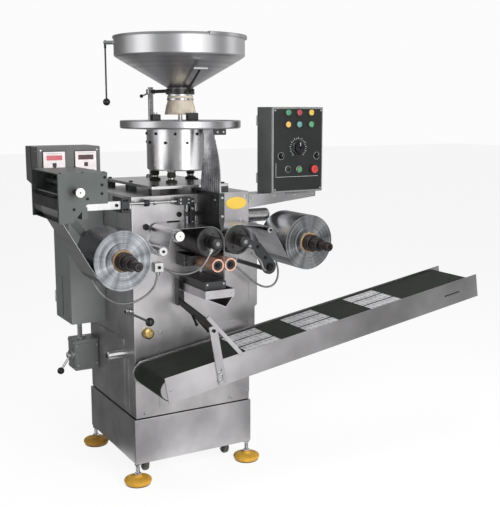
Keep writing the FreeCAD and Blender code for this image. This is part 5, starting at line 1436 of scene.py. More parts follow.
    def bearings(self) -> None:
        """Dress the bearing flanges in the front wall."""
        flanges = Piece("bearing_flanges")
        flanges.add(copy_of("front_bearings", 1.0), DARK_STEEL)
        for x, z, ring in ((-29, self.seal_height, 27), (105, self.seal_height, 27), (7, self.pull_height, 19),
                           (69, self.pull_height, 19)):
            spots = [stand((x, -301.5, z), FRONT_WAY) @ Matrix.Rotation(k * math.tau / 4 + 0.4, 4, "Z")
                     @ Matrix.Translation((ring, 0, 0)) for k in range(4)]
            flanges.scatter(cap_screw(3, 0.6), ZINC_SCREW, spots)
        flanges.mount("machine", "dark_steel", "front_bearings")


@dataclass
class Foils(Assembly):
    """Foil reels on their hubs, guide rollers, and the webs that run between them."""

    radius: float = 125.0
    front: float = -521.0
    back: float = -300.0
    spindle_end: float = -236.0
    reels: tuple[tuple[str, float, float], ...] = (("left", -425.0, 1080.0), ("right", 474.0, 1089.0))

    def build(self) -> None:
        """Wind the reels and run the webs."""
        for side, x, z in self.reels:
            self.reel(side, x, z)
        self.webs()
        self.guides()

    def reel(self, side: str, x: float, z: float) -> None:
        """Wind a reel: layers that stand slightly proud of each other on a card core and stepped hub.

        Args:
            side: left or right.
            x: place of its axis.
            z: height of its axis.
        """
        # The same wound foil takes darker tones on the left reel than on the right: painted shade and light for how
        # each reel meets the light. Its tone also fans by angle round the axis as painted highlights.
        light, dark = ("#A8ABAF", "#5A5D61") if side == "left" else ("#BDBEC1", "#66686B")
        wound = TurnedMetal(f"aluminium_foil_wound_{side}", light, dark, 0.27, centre=(x, 0.0, z),
                            axis=BACK_WAY, spacing=3.0, depth=0.5, swing=0.08, fan=0.8, painted_fans=0.6)
        chance = random.Random(5 if side == "left" else 8)
        depth = self.back - self.front
        face = [(46.0 + 4.9 * k, chance.uniform(0.0, 1.4)) for k in range(16)]
        far = [(r, depth - chance.uniform(0.0, 1.2)) for r, _ in reversed(face)]
        profile = [(45.4, 0.2)] + face + [(self.radius - 0.5, 0.3), (self.radius, 1.0), (self.radius, depth - 1.0)]
        profile += far + [(45.4, depth - 0.2), (45.4, 0.2)]
        reel = Piece(f"foil_reel_{side}")
        base = (x, self.front, z)
        reel.add(turned(profile, base, BACK_WAY, 112), wound)
        core = [(38.2, -2), (45.3, -2), (45.3, depth), (38.2, depth), (38.2, -2)]
        reel.add(turned(core, base, BACK_WAY, 64, 0.8), CARD)
        hub = [(0, -165), (15, -165), (19, -162), (20, -158), (20, -92), (26, -92), (30, -89), (30, -40), (34, -40),
               (38, -37), (38, 0), (38, depth), (0, depth)]
        body = turned(hub, base, BACK_WAY, 48, 1.0)
        axis = Vector((x, 0, z))
        knurl(body, lambda f: f.calc_center_median().y < self.front - 4 and f.calc_area() > 90
              and abs(f.normal.y) < 0.2 and (f.calc_center_median() - axis).xz.length > 18, 1.2, 0.9)
        reel.add(body, BROWN_BAKELITE)
        reel.screws([(x + 26 * math.cos(a), self.front - 89, z + 26 * math.sin(a)) for a in (0.5, 2.6, 4.7)],
                    FRONT_WAY, 2.6, 1.2)
        reel.screws([(x, self.front - 164.6, z)], FRONT_WAY, 8, 0.4, ZINC_SCREW)
        reel.add(rod((x, self.back - 1, z), (x, self.spindle_end, z), 15, 36, 0.8), BRIGHT_STEEL)
        reel.mount(f"reel_{side}", "foil", f"{side}_reel")

    def webs(self) -> None:
        """Run the webs round their rollers."""
        for side in ("left", "right"):
            web = Piece(f"foil_web_{side}")
            web.add(copy_of(f"{side}_foil", 0.0, 0.2), WEB_FOIL)
            web.mount("machine", "foil", f"{side}_foil")

    def guides(self) -> None:
        """Dress the guide rollers with flanged ends and the white nylon knob."""
        guides = Piece("foil_guide_rollers")
        guides.add(copy_of("guide_rollers", 1.0), GUIDE_STEEL)
        for x, z, r in ((-247, 1104, 22), (-181, 1165, 27), (270, 1159, 14)):
            guides.add(turned([(0, 0), (r * 0.8, 0), (r * 0.8, 1.5), (0, 1.5)], (x, -520, z), FRONT_WAY, 36, 0.6),
                       BRIGHT_STEEL)
        grip = turned([(6, 0), (19, 0), (21, 2), (21, 20), (19, 22), (9, 23), (9, 19), (6, 19), (6, 0)],
                      (-181, -520.5, 1165), FRONT_WAY, 36, 0.6)
        axis = Vector((-181, 0, 1165))
        guides.add(knurl(grip, lambda f: (f.calc_center_median() - axis).xz.length > 20.4 and f.calc_area() > 30, 0.7,
                         0.7), BLACK_PAINT)
        guides.add(turned([(4, 18), (19.4, 18), (20.4, 19.4), (20.4, 23), (18, 24.4), (4, 24.4), (4, 18)],
                          (-181, -520.5, 1165), FRONT_WAY, 36, 0.5), NYLON)
        guides.screws([(-247, -521.5, 1104), (270, -521.5, 1159)], FRONT_WAY, 6, 4, BLACK_SCREW)
        guides.mount("machine", "dark_steel", "guide_rollers")


@dataclass
class PrintingUnit(Assembly):
    """Side plates, rollers, ink pan and swinging lever of the printing unit on the left."""

    front: float = -545.0
    back: float = -180.0
    right: float = -492.0
    left: float = -691.0
    top: float = 1440.0

    def build(self) -> None:
        """Build the frame and its rollers."""
        self.frame()
        self.rollers()
        self.fittings()

    def frame(self) -> None:
        """Dress the plates, cover and tie, with their bolts."""
        frame = Piece("printing_unit_frame")
        frame.add(copy_of("printing_frame", 1.6), UNIT_PAINT)
        frame.screws([(-515, self.front, 1394), (-516, self.front, 1360), (-575, self.front, 1342),
                      (-631, self.front, 1303), (-503, self.front, 1423)], FRONT_WAY, 5.5, 3, BLACK_SCREW)
        frame.screws([(x, self.front + 6 + k, self.top + 3) for x in (-680, -590, -504) for k in (0, 353)], UP, 5, 3,
                     BLACK_SCREW)
        frame.screws([(-588, self.back, 1300), (-520, self.back, 1400), (-670, self.back, 1400)], BACK_WAY, 6.5, 4,
                     BLACK_SCREW)
        frame.add(turned([(0, 0), (15, 0), (15, 5), (0, 5)], (-478, -284, 1128), FRONT_WAY, 32, 1.0), BRIGHT_STEEL)
        frame.mount("machine", "grey_paint", "printing_frame")

    def rollers(self) -> None:
        """Dress the plate, ink and turning rollers and the knob with its white end."""
        rollers = Piece("printing_rollers_dressed")
        for x, z, r, finish in ((-648, 1292, 40, GUIDE_STEEL), (-548, 1378, 30, BLACK_RUBBER),
                                (-618, 1395, 22, GUIDE_STEEL)):
            rollers.add(turned([(0, 0), (9, 0), (9, 6), (r - 1, 6), (r, 8), (r, 333), (r - 1, 335), (9, 335), (9, 341),
                                (0, 341)], (x, -533, z), BACK_WAY, 64), finish)
        band = [(40.0, 0), (40.6, 0), (40.6, 120), (40.0, 120), (40.0, 0)]
        rollers.add(turned(band, (-648, -430, 1292), BACK_WAY, 64), BLACK_RUBBER)
        barrel = [(0, 0), (19, 0), (20, 1), (20, 80), (0, 80)]
        rollers.add(turned(barrel, (-478, -276, 1128), BACK_WAY, 40), GUIDE_STEEL)
        rollers.add(turned([(0, 0), (11, 0), (11, 44), (17, 45.6), (18, 48), (18, 52), (0, 53)], (-622, -546, 1372),
                           FRONT_WAY, 40, 0.6), BLACK_PAINT)
        rollers.add(turned([(3.6, 51), (17.4, 51), (18.4, 52.5), (18.4, 55.5), (17, 57), (3.6, 57), (3.6, 51)],
                           (-622, -546, 1372), FRONT_WAY, 40, 0.5), NYLON)
        rollers.mount("machine", "dark_steel", "printing_rollers")

    def fittings(self) -> None:
        """Hang the ink pan between the plates and the doctor rod above it."""
        pan = Piece("ink_pan")
        pan.add(block((-690, -533.5, 1300), (-686, -191.5, 1344), 1.0), DARK_STEEL)
        pan.add(block((-688, -533.5, 1252), (-640, -191.5, 1255), 0.8), DARK_STEEL)
        pan.add(rod((-672, -533.5, 1358), (-672, -191.5, 1358), 5, 16), ZINC_SCREW)
        pan.add(rod((-580, -533.5, 1336), (-580, -191.5, 1336), 7, 20), ZINC_SCREW)
        pan.add(rod((-510, -533.5, 1420), (-510, -191.5, 1420), 6, 16), ZINC_SCREW)
        pan.mount("machine", "grey_paint")


@dataclass
class Arms(Assembly):
    """The bar that carries the printing unit, the reels' arms and the register shaft."""

    bar_height: float = 1287.0

    def build(self) -> None:
        """Build the arms and the register shaft."""
        self.supports()
        self.register()

    def supports(self) -> None:
        """Dress the bar, its clamp and the arms of the reels."""
        arms = Piece("carrying_arms")
        arms.add(copy_of("support_arms", 2.0), BRIGHT_STEEL)
        arms.recolour(BLACK_PAINT, lambda c: -363 < c.x < -324 and c.y < -247 and c.z > 1240)
        arms.screws([(-350, -356, z) for z in (1268, 1306)] + [(-337, -356, z) for z in (1268, 1306)], FRONT_WAY, 5, 4,
                    BLACK_SCREW)
        arms.screws([(-545, -345, 1287), (-380, -345, 1287)], FRONT_WAY, 7, 5, BLACK_SCREW)
        for x, z in ((-425, 1080), (474, 1089)):
            arms.add(turned([(0, 0), (27, 0), (27, 2), (20, 4), (0, 4)], (x, -230, z), BACK_WAY, 40, 0.8), BLACK_PAINT)
            arms.screws([(x + a * 28, -266, z + b * 20) for a in (-1, 1) for b in (-1, 1)], FRONT_WAY, 3.4, 2.4,
                        BLACK_SCREW)
        arms.mount("machine", "bright_steel", "support_arms")

    def register(self) -> None:
        """Dress the register shaft with its knurled knob and blocks."""
        shaft = Piece("register_shaft_dressed")
        shaft.add(copy_of("register_shaft", 1.0), BRIGHT_STEEL)
        y, z = -318.0, self.bar_height
        shaft.recolour(BLACK_PAINT, lambda c: -95 < c.x < -20 and c.z > 1250)
        grip = turned([(6.2, 0), (14, 0), (14.6, 2), (14.6, 18), (14, 20), (6.2, 20), (6.2, 0)], (-243, y, z),
                      RIGHT_WAY, 32, 0.4)
        axis = Vector((0, y, z))
        shaft.add(knurl(grip, lambda f: (f.calc_center_median() - axis).yz.length > 14.2 and f.calc_area() > 20, 0.6,
                        0.6), BLACK_PAINT)
        for x in (-200, -120):
            shaft.add(turned([(6.1, 0), (11, 0), (11, 9), (6.1, 9), (6.1, 0)], (x, y, z), RIGHT_WAY, 28, 0.6),
                      ZINC_SCREW)
        shaft.screws([(-78, -332, z + 8), (-40, -332, z + 8), (-78, -332, z - 8), (-40, -332, z - 8)], FRONT_WAY, 4.5,
                     3.5)
        shaft.screws([(-225, -425, 1020)], FRONT_WAY, 7, 5, BLACK_SCREW)
        shaft.screws([(-205, -405, 1020)], RIGHT_WAY, 4, 3, BLACK_SCREW)
        shaft.mount("machine", "bright_steel", "register_shaft")


@dataclass
class TrayAndCutter(Assembly):
    """The black cutter housing over the tray with its V chute."""

    def build(self) -> None:
        """Build the cutter housing and the tray."""
        cutter = Piece("cutter_housing")
        cutter.add(block((-70, -545, 891.2), (33, -290, 960), 3.0), BLACK_PAINT)
        cutter.screws([(x, -545, z) for x in (-58, 21) for z in (903, 948)], FRONT_WAY, 4.5, 3)
        cutter.add(block((-50, -547, 915), (12, -544.5, 936), 0.8), PANEL_BLACK)
        cutter.add(block((28, -540, 944), (33.5, -296, 958), 0.8), BRIGHT_STEEL)
        cutter.mount("machine", "black_paint", "cutter_box")
        tray = Piece("strip_tray")
        tray.add(copy_of("delivery_tray", 0.8), LEVEL_STEEL)
        tray.screws([(x, -560, 906) for x in (-62, 54)], FRONT_WAY, 4, 2.5)
        tray.mount("machine", "stainless", "delivery_tray")


@dataclass
class Conveyor(Assembly):
    """The inclined conveyor: side plates, slider bed, belt loop, strips, stand-offs and hangers."""

    head: float = -287.0
    height: float = 586.0
    tilt: float = 9.12
    length: float = 1749.0
    depth: float = 116.0
    drum_x: tuple[float, float] = (20.0, 1690.0)
    drum_radius: float = 45.7
    near_front: float = -600.0
    far_back: float = -320.0

    def build(self) -> None:
        """Build the conveyor and what carries it."""
        self.plates()
        self.bed()
        self.belt()
        self.strips()
        self.hangers()

    def lie(self, solid: BMesh) -> BMesh:
        """Tip a solid made level onto the conveyor's slope.

        Args:
            solid: the shape, made along +X from the conveyor's head.

        Returns:
            The same shape.
        """
        solid.transform(self.slope())
        return solid

    def slope(self) -> Matrix:
        """Give the move and turn onto the slope."""
        return (Matrix.Translation((self.head, 0, self.height))
                @ Matrix.Rotation(math.radians(-self.tilt), 4, "Y"))

    def plates(self) -> None:
        """Dress both side plates, their folded lips, bolts and bearing caps."""
        plates = Piece("conveyor_side_plates")
        plates.add(copy_of("conveyor_sides", 1.0, 1.2), PLATE_STEEL)
        lean = self.slope()
        # A near-black slot under the zinc strip is painted shade in its opening.
        plates.scatter(block((-48, -5, -0.3), (48, 5, 0.4), 0.2), PAINTED_SHADE_BLACK, [lean @ stand((1580, self.near_front, -62),
                                                                                     FRONT_WAY)])
        plates.scatter(block((-44, -2.6, 0), (44, 2.6, 0.9), 0.3), ZINC_SCREW,
                       [lean @ stand((1580, self.near_front, -64), FRONT_WAY)])
        plates.scatter(cap_screw(5.5, 3), ZINC_SCREW,
                       [lean @ stand((s, self.far_back, -58), BACK_WAY) for s in range(240, 1700, 240)])
        nose = lean @ stand((20, -323.0, -58), FRONT_WAY)
        plates.scatter(turned([(53.5, 0), (56.8, 0), (56.8, 2.4), (53.5, 2.4), (53.5, 0)], (0, 0, 0), UP, 64, 0.6),
                       BRIGHT_STEEL, [nose])
        plates.mount("machine", "stainless", "conveyor_sides")

    def bed(self) -> None:
        """Lay the slider bed between its two end drums, and bolt the stand-offs."""
        bed = Piece("conveyor_slider_bed")
        bed.add(self.lie(block((80, -597, -90), (1630, -323, -12.3), 1.5)), PLATE_STEEL)
        for s in self.drum_x:
            drum = turned([(0, 0), (self.drum_radius - 1, 0), (self.drum_radius, 1), (self.drum_radius, 273),
                           (self.drum_radius - 1, 274), (0, 274)], (s, -597, -58), BACK_WAY, 64)
            bed.add(self.lie(drum), LEVEL_STEEL)
            bed.add(self.lie(rod((s, -602.4, -58), (s, -317.6, -58), 8, 24, 0.6)), ZINC_SCREW)
        bed.mount("machine", "bright_steel", "conveyor_bed")
        lugs = Piece("conveyor_stand_offs")
        lugs.add(copy_of("conveyor_standoffs", 1.0), BRIGHT_STEEL)
        lugs.mount("machine", "bright_steel", "conveyor_standoffs")

    def belt(self) -> None:
        """Loop the belt round its drums."""
        belt = Piece("conveyor_belt_loop")
        belt.add(copy_of("conveyor_belt", 0.5), BELT)
        belt.mount("machine", "belt", "conveyor_belt")

    def strips(self) -> None:
        """Lay the finished strips on the belt, embossed with two rows of tablet pockets."""
        strips = Piece("tablet_strips")
        chance = random.Random(3)
        for number, s in enumerate((404.0, 726.0, 1098.0)):
            for row in range(3):
                strips.add(self.lie(self.strip(s, -594.0 + 88.0 * row, 1.0 if number == 0 else 0.3, chance)),
                           STRIP_FOIL)
        # Small faces, the pockets' walls and the strips' edges, get the darker foil as painted shade.
        shaded_walls = strips.number(FOIL_PAINTED_SHADE)
        for face in strips.shape.faces:
            if face.calc_area() < 22:
                face.material_index = shaded_walls
        strips.mount("machine", "foil", "foil_strips")

    def strip(self, start: float, front: float, slack: float, chance: random.Random) -> BMesh:
        """Emboss one strip.

        Args:
            start: where it starts along the belt.
            front: y of its front edge.
            slack: how rumpled it lies.
            chance: its random numbers.

        Returns:
            The shape.
        """
        long, wide, low = 180.0, 76.0, -9.0
        solid = bmesh.new()
        columns, rows = 20, 8
        bmesh.ops.create_grid(solid, x_segments=columns, y_segments=rows, size=0.5,
                              matrix=Matrix.Translation((start + long / 2, front + wide / 2, low + 0.9))
                              @ Matrix.Diagonal((long, wide, 1, 1)))
        drift = [chance.uniform(0, math.tau) for _ in range(3)]
        for vert in solid.verts:
            u, v = (vert.co.x - start) / long, (vert.co.y - front) / wide
            wave = math.sin(11 * u + drift[0]) * math.sin(7 * v + drift[1]) + 0.5 * math.sin(23 * u + 9 * v + drift[2])
            vert.co.z += slack * (0.5 + 0.45 * wave)
        pockets = [f for f in solid.faces if int((f.calc_center_median().x - start) / 9) % 3 != 0
                   and int((f.calc_center_median().y - front) / 9.5) in (1, 2, 5, 6)]
        bmesh.ops.inset_individual(solid, faces=pockets, thickness=1.7, depth=1.0)
        bmesh.ops.solidify(solid, geom=solid.faces[:], thickness=-0.3)
        bmesh.ops.recalc_face_normals(solid, faces=solid.faces)
        return solid

    def hangers(self) -> None:
        """Hang the conveyor on its black bar, slotted bar, slant and wall bracket."""
        hangers = Piece("conveyor_hanger_bars")
        hangers.add(copy_of("conveyor_hanger", 0.9), BLACK_PAINT)
        hangers.recolour(LEVEL_STEEL, lambda c: c.y < -598 and c.z < 775)
        hangers.screws([(-64, -294, 836), (-80, -294, 930)], FRONT_WAY, 6, 4)
        for start, end in (((-84, -450, 800), (-64, -450, 757)), ((-75, -450, 797), (-8, -450, 720))):
            hangers.add(rod(start, end, 5.5, 16, 1.0), BLACK_SCREW)
            hangers.add(ball(end, 8), BLACK_SCREW)
        hangers.screws([(-31, -605, 572), (-28, -605, 536)], FRONT_WAY, 8, 5)
        hangers.scatter(turned([(5, 0), (12, 0), (12, 1.6), (5, 1.6), (5, 0)], (0, 0, 0), UP, 28, 0.3), BRIGHT_STEEL,
                        [stand((x, -605, z), FRONT_WAY) for x, z in ((-31, 572), (-28, 536), (-60, 762))])
        hangers.scatter(hexagon(9, 7), BLACK_SCREW, [stand((-60, -605, 762), FRONT_WAY)])
        hangers.mount("machine", "bright_steel", "conveyor_hanger")


@dataclass
class LeftBoxes(Assembly):
    """Electrical box, temperature box with its controllers, gearbox, and both hand levers."""

    wall: float = -292.0

    def build(self) -> None:
        """Build what stands on the cabinet's left side."""
        self.electrical()
        self.temperature()
        self.controllers()
        self.gearbox()
        self.crank()
        self.clutch()

    def electrical(self) -> None:
        """Close the electrical box with its door, hinge and louvres."""
        box = Piece("electrical_cabinet")
        left, front, back, low, high = -462.0, 58.0, 290.0, 692.0, 1330.0
        box.add(block((left, front, low), (self.wall, back, high), 3.0), GREY_PAINT)
        box.add(block((left - 1.4, front + 10, low + 12), (left + 1, back - 10, high - 12), 0.8), GREY_PAINT)
        # The louvre slots are near-black: painted shade in their openings.
        louvres = [stand((left - 1.4, 174, z), LEFT_WAY) for z in range(760, 860, 14)]
        box.scatter(block((-2.0, -48, -0.4), (2.0, 48, 1.0), 0.8), PAINTED_SHADE_BLACK, louvres)
        box.screws([(left - 1.4, y, z) for y in (78, 270) for z in (715, 1308)], LEFT_WAY, 4.5, 2.5)
        box.add(block((-430, front - 1.2, 1240), (-400, front + 0.5, 1300), 0.6), BRIGHT_STEEL)
        for z in (790, 1230):
            box.add(rod((left - 2, back - 6, z - 28), (left - 2, back - 6, z + 28), 4, 14, 0.6), ZINC_SCREW)
        box.mount("machine", "grey_paint", "electrical_box")

    def temperature(self) -> None:
        """Fold the pale box of the temperature controllers, with its chamfered lower corner."""
        box = Piece("temperature_cabinet")
        outline = [(-594, 1520), (-300, 1520), (-300, 1330), (-560, 1330), (-594, 1364)]
        box.add(slab(outline, 58, 248, 3.0), PALE_PAINT)
        box.add(slab([(-588, 1514), (-306, 1514), (-306, 1336), (-557, 1336), (-588, 1367)], 56.6, 59, 0.6),
                PALE_PAINT)
        box.screws([(-578, 56.6, 1504), (-316, 56.6, 1504), (-316, 56.6, 1346), (-552, 56.6, 1348)], FRONT_WAY, 4.5,
                   2.5)
        # The louvre slots are near-black: painted shade in their openings.
        box.scatter(block((-1.6, -50, -0.4), (1.6, 50, 0.8), 0.6), PAINTED_SHADE_BLACK,
                    [stand((-594, 160, z), LEFT_WAY) for z in range(1400, 1480, 12)])
        box.screws([(-594, y, 1500) for y in (76, 230)], LEFT_WAY, 4, 2.5)
        box.mount("machine", "grey_paint", "temperature_box")

    def controllers(self) -> None:
        """Set both temperature controllers: white face, display, keys, in a black bezel."""
        panel = Piece("temperature_controller_pair")
        # The left display takes the paler filter, a painted highlight.
        for x, glow in ((-518, DISPLAY_PAINTED_HIGHLIGHT), (-371, DISPLAY_RED)):
            z = 1448
            panel.add(block((x - 54, 52.4, z - 54), (x + 54, 58, z + 54), 1.6), BLACK_PAINT)
            panel.add(block((x - 50, 51.8, z - 50), (x + 50, 53, z + 50), 0.5), FACE_WHITE)
            panel.add(block((x - 36, 51.0, z + 12), (x + 36, 52.4, z + 34), 0.6), glow)
            panel.add(block((x - 36, 51.2, z + 41), (x + 36, 52.0, z + 43), 0.2), PRINT_GREY)
            panel.add(block((x - 9, 50.4, z - 18), (x + 9, 52.2, z + 0), 0.5), BLACK_PAINT)
            keys = [stand((x - 30 + 20 * k, 51.8, z - 38), FRONT_WAY) for k in range(4)]
            panel.scatter(block((-7, -4.5, -0.2), (7, 4.5, 1.2), 0.5), KEY_ROSE, keys)
        panel.mount("machine", "black_plastic", "temperature_controllers")

    def gearbox(self) -> None:
        """Cast the worm gearbox with its ribs, plug and conduit riser."""
        box = Piece("worm_gearbox")
        box.add(copy_of("gearbox_housing", 2.4), GREY_PAINT)
        box.screws([(-412, y, z) for y in (187, 272) for z in (441, 568)], LEFT_WAY, 5.5, 4)
        box.scatter(hexagon(10, 7), ZINC_SCREW, [stand((-412, 262, 505), LEFT_WAY), stand((-350, 230, 580), UP)])
        box.add(block((-408, 173.5, 450), (-298, 177, 560), 1.2), GREY_PAINT)
        box.screws([(x, 173.5, z) for x in (-400, -306) for z in (458, 552)], FRONT_WAY, 4.5, 3)
        box.add(turned([(22.4, 0), (29, 0), (29, 4), (22.4, 4), (22.4, 0)], (-412, 212, 505), LEFT_WAY, 36, 0.8),
                ZINC_SCREW)
        box.add(rod((-378, 200, 578), (-378, 200, 694), 11, 24), HOSE_STEEL)
        rings = [stand((-378, 200, z), UP) for z in range(584, 690, 5)]
        box.scatter(turned([(10.6, -1.6), (12, 0), (10.6, 1.6), (10.6, -1.6)], (0, 0, 0), UP, 24), HOSE_STEEL, rings)
        box.scatter(hexagon(17, 10), ZINC_SCREW, [stand((-378, 200, 579.5), UP), stand((-378, 200, 692), DOWN)])
        box.mount("machine", "grey_paint", "gearbox_housing")

    def crank(self) -> None:
        """Dress the inching crank with its hub, bright rod and black ball."""
        crank = Piece("inching_crank")
        hub = [(7.05, 0), (13.5, 0), (15, 1.5), (15, 14.5), (13.5, 16), (7.05, 16), (7.05, 0)]
        crank.add(turned(hub, (-426.3, 211, 505), LEFT_WAY, 36, 0.3), BRIGHT_STEEL)
        crank.add(rod((-434.3, 210.2, 493.5), (-474, 205, 440), 6, 20), ZINC_SCREW)
        crank.add(ball((-478, 204, 434), 17), BAKELITE)
        crank.screws([(-434.3, 226, 505)], BACK_WAY, 3, 1.5, BLACK_SCREW)
        crank.mount("crank", "black_plastic", "crank_lever")

    def clutch(self) -> None:
        """Dress the clutch lever with its hub, bright rod and black ball."""
        clutch = Piece("clutch_hand_lever")
        hub = [(0, 0), (14.5, 0), (16, 1.5), (16, 12.5), (14.5, 14), (0, 14)]
        clutch.add(turned(hub, (-304.3, -258, 803), LEFT_WAY, 36, 0.3), BRIGHT_STEEL)
        clutch.add(rod((-311.3, -272, 803.4), (-311.3, -500, 810.6), 6, 20), ZINC_SCREW)
        clutch.add(turned([(0, 0), (9, 0), (8, 12), (6.2, 14), (0, 14)], (-311.3, -497, 810.5), BACK_WAY, 24, 0.5),
                   ZINC_SCREW)
        clutch.add(ball((-311.3, -513, 811), 19), BAKELITE)
        clutch.screws([(-318.3, -258, 803)], LEFT_WAY, 6, 2.5, BLACK_SCREW)
        clutch.mount("clutch", "black_plastic", "clutch_lever")


@dataclass
class ControlBox(Assembly):
    """The control box on its tapered arm, with lamps, dial, knobs and buttons."""

    left: float = 409.0
    right: float = 697.0
    front: float = -300.0
    back: float = -160.0
    low: float = 1297.0
    high: float = 1697.0
    dial: Flat = (554.0, 1508.0)

    def build(self) -> None:
        """Build the box, its controls, the dial and the arm."""
        self.shell()
        self.controls()
        self.knob()
        self.arm()

    def shell(self) -> None:
        """Fold the box round its darker front plate, with a pale line down its left edge."""
        box = Piece("control_cabinet")
        face = self.front
        box.add(copy_of("control_box", 1.6), CHARCOAL)
        box.add(block((self.left + 9, face - 0.9, self.low + 9), (self.right - 9, face + 0.5, self.high - 9), 0.4),
                PANEL_BLACK)
        box.scatter(block((-1.0, -0.25, 0), (1.0, 0.25, self.high - self.low - 14), 0.2), PRINT_GREY,
                    [Matrix.Translation((self.left + 7, face - 0.2, self.low + 7))])
        for low, high in (((430, 1370), (432, 1437)), ((430, 1370), (668, 1372))):
            box.add(block((low[0], face - 1.2, low[1]), (high[0], face - 0.7, high[1])), PRINT_GREY)
        box.screws([(x, face - 0.9, z) for x in (425, 681) for z in (1313, 1681)], FRONT_WAY, 4.5, 2.4)
        box.screws([(self.right, y, z) for y in (-285, -175) for z in (1315, 1679)], RIGHT_WAY, 4.5, 2.4)
        for z in (1360, 1634):
            box.add(rod((self.left + 3, self.back + 2.0, z - 24), (self.left + 3, self.back + 2.0, z + 24), 4, 14, 0.6),
                    ZINC_SCREW)
        box.mount("machine", "charcoal_paint", "control_box")

    def controls(self) -> None:
        """Set the lamps, potentiometers, selector and buttons in their bezels."""
        panel = Piece("panel_controls_dressed")
        face = self.front - 0.5
        lamps = [(x, z) for z in (1671, 1616) for x in (496, 558, 625)]
        bezel = [(13.5, 0), (18.5, 0), (18.5, 3.4), (16.5, 5), (13.5, 5), (13.5, 0)]
        panel.scatter(turned(bezel, (0, 0, 0), UP, 36, 0.5), BLACK_PAINT,
                      [stand((x, face, z), FRONT_WAY) for x, z in lamps])
        for (x, z), lens in zip(lamps, LENSES):
            panel.add(turned([(0, 0), (14, 0), (14, 6.2), (11.5, 8.3), (0, 9.6)], (x, face, z), FRONT_WAY, 36, 0.5),
                      lens)
        for x, z in ((459, 1470), (660, 1467)):
            panel.add(turned([(16.5, 0), (17.6, 0), (17.6, 0.9), (16.5, 0.9), (16.5, 0)], (x, face, z), FRONT_WAY, 40),
                      PRINT_GREY)
            grip = turned([(0, 0), (11, 0), (11, 8), (9.6, 13), (8.8, 14), (0, 14)], (x, face, z), FRONT_WAY, 24, 0.5)
            middle = Vector((x, 0, z))
            panel.add(knurl(grip, lambda f: (f.calc_center_median() - middle).xz.length > 10 and f.calc_area() > 14,
                            0.5, 0.4), BAKELITE)
            panel.add(block((x - 0.7, face - 14.6, z), (x + 0.7, face - 13.8, z + 8)), PRINT_GREY)
        ring = [(12.5, 0), (17.5, 0), (17.5, 5), (15.5, 7), (12.5, 7), (12.5, 0)]
        for x, z, cap in ((495, 1407, BAKELITE), (558, 1405, BUTTON_GREEN)):
            panel.add(turned(ring, (x, face, z), FRONT_WAY, 36, 0.5), ZINC_SCREW)
            panel.add(turned([(0, 0), (12.2, 0), (12.2, 11), (10, 12), (0, 12.4)], (x, face, z), FRONT_WAY, 32, 0.6),
                      cap)
        panel.add(block((492.4, face - 13.4, 1396), (497.6, face - 11.4, 1418), 0.8), BAKELITE)
        panel.add(turned([(0, 0), (14, 0), (14, 3), (11, 5), (11, 12), (17, 13.5), (19, 16), (18, 20.5), (14, 22),
                          (0, 22.4)], (638, face, 1404), FRONT_WAY, 40, 0.6), BUTTON_RED)
        panel.mount("machine", "black_plastic", "panel_controls")

    def knob(self) -> None:
        """Turn the speed dial: a black skirt and grip with a pale pointer, over a ring of ticks."""
        dial = Piece("speed_dial_knob")
        x, z = self.dial
        base = (x, self.front - 0.3, z)
        skirt = [(5.05, 0), (36, 0), (36, 2.5), (30, 6.4), (27, 7), (26, 8), (26, 20), (24.4, 21.7), (8, 21.7),
                 (5.05, 21.7), (5.05, 0)]
        shape = turned(skirt, base, FRONT_WAY, 48, 0.4)
        middle = Vector((x, 0, z))
        dial.add(knurl(shape, lambda f: 25 < (f.calc_center_median() - middle).xz.length < 26.5 and f.calc_area() > 24,
                       0.9, 1.0), BAKELITE)
        dial.add(block((x - 1.1, -322.6, z + 8), (x + 1.1, -321.2, z + 24), 0.2), NYLON)
        dial.mount("speed", "black_plastic", "speed_knob")
        marks = Piece("speed_dial_ticks")
        for k in range(21):
            turn = Matrix.Rotation(math.radians(-140 + 14 * k), 4, "Y")
            seat = Matrix.Translation((x, self.front - 0.9, z)) @ turn
            reach = 49 if k % 2 == 0 else 45.5
            marks.scatter(block((-1.2, -0.5, 39.5), (1.2, 0.2, reach)), PRINT_GREY, [seat])
        marks.mount("machine", "black_plastic")

    def arm(self) -> None:
        """Dress the tapered arm: folded sheet with a web of bolts at its root."""
        arm = Piece("control_box_arm")
        arm.add(copy_of("control_arm", 0.9), LEVEL_STEEL)
        arm.screws([(306, -290, z) for z in (1250, 1280)] + [(x, -290, 1284) for x in (430, 540, 640)], FRONT_WAY, 5, 3)
        arm.add(block((488, -306, 1291), (613, -289, 1294.5), 0.8), LEVEL_STEEL)
        arm.mount("machine", "stainless", "control_arm")


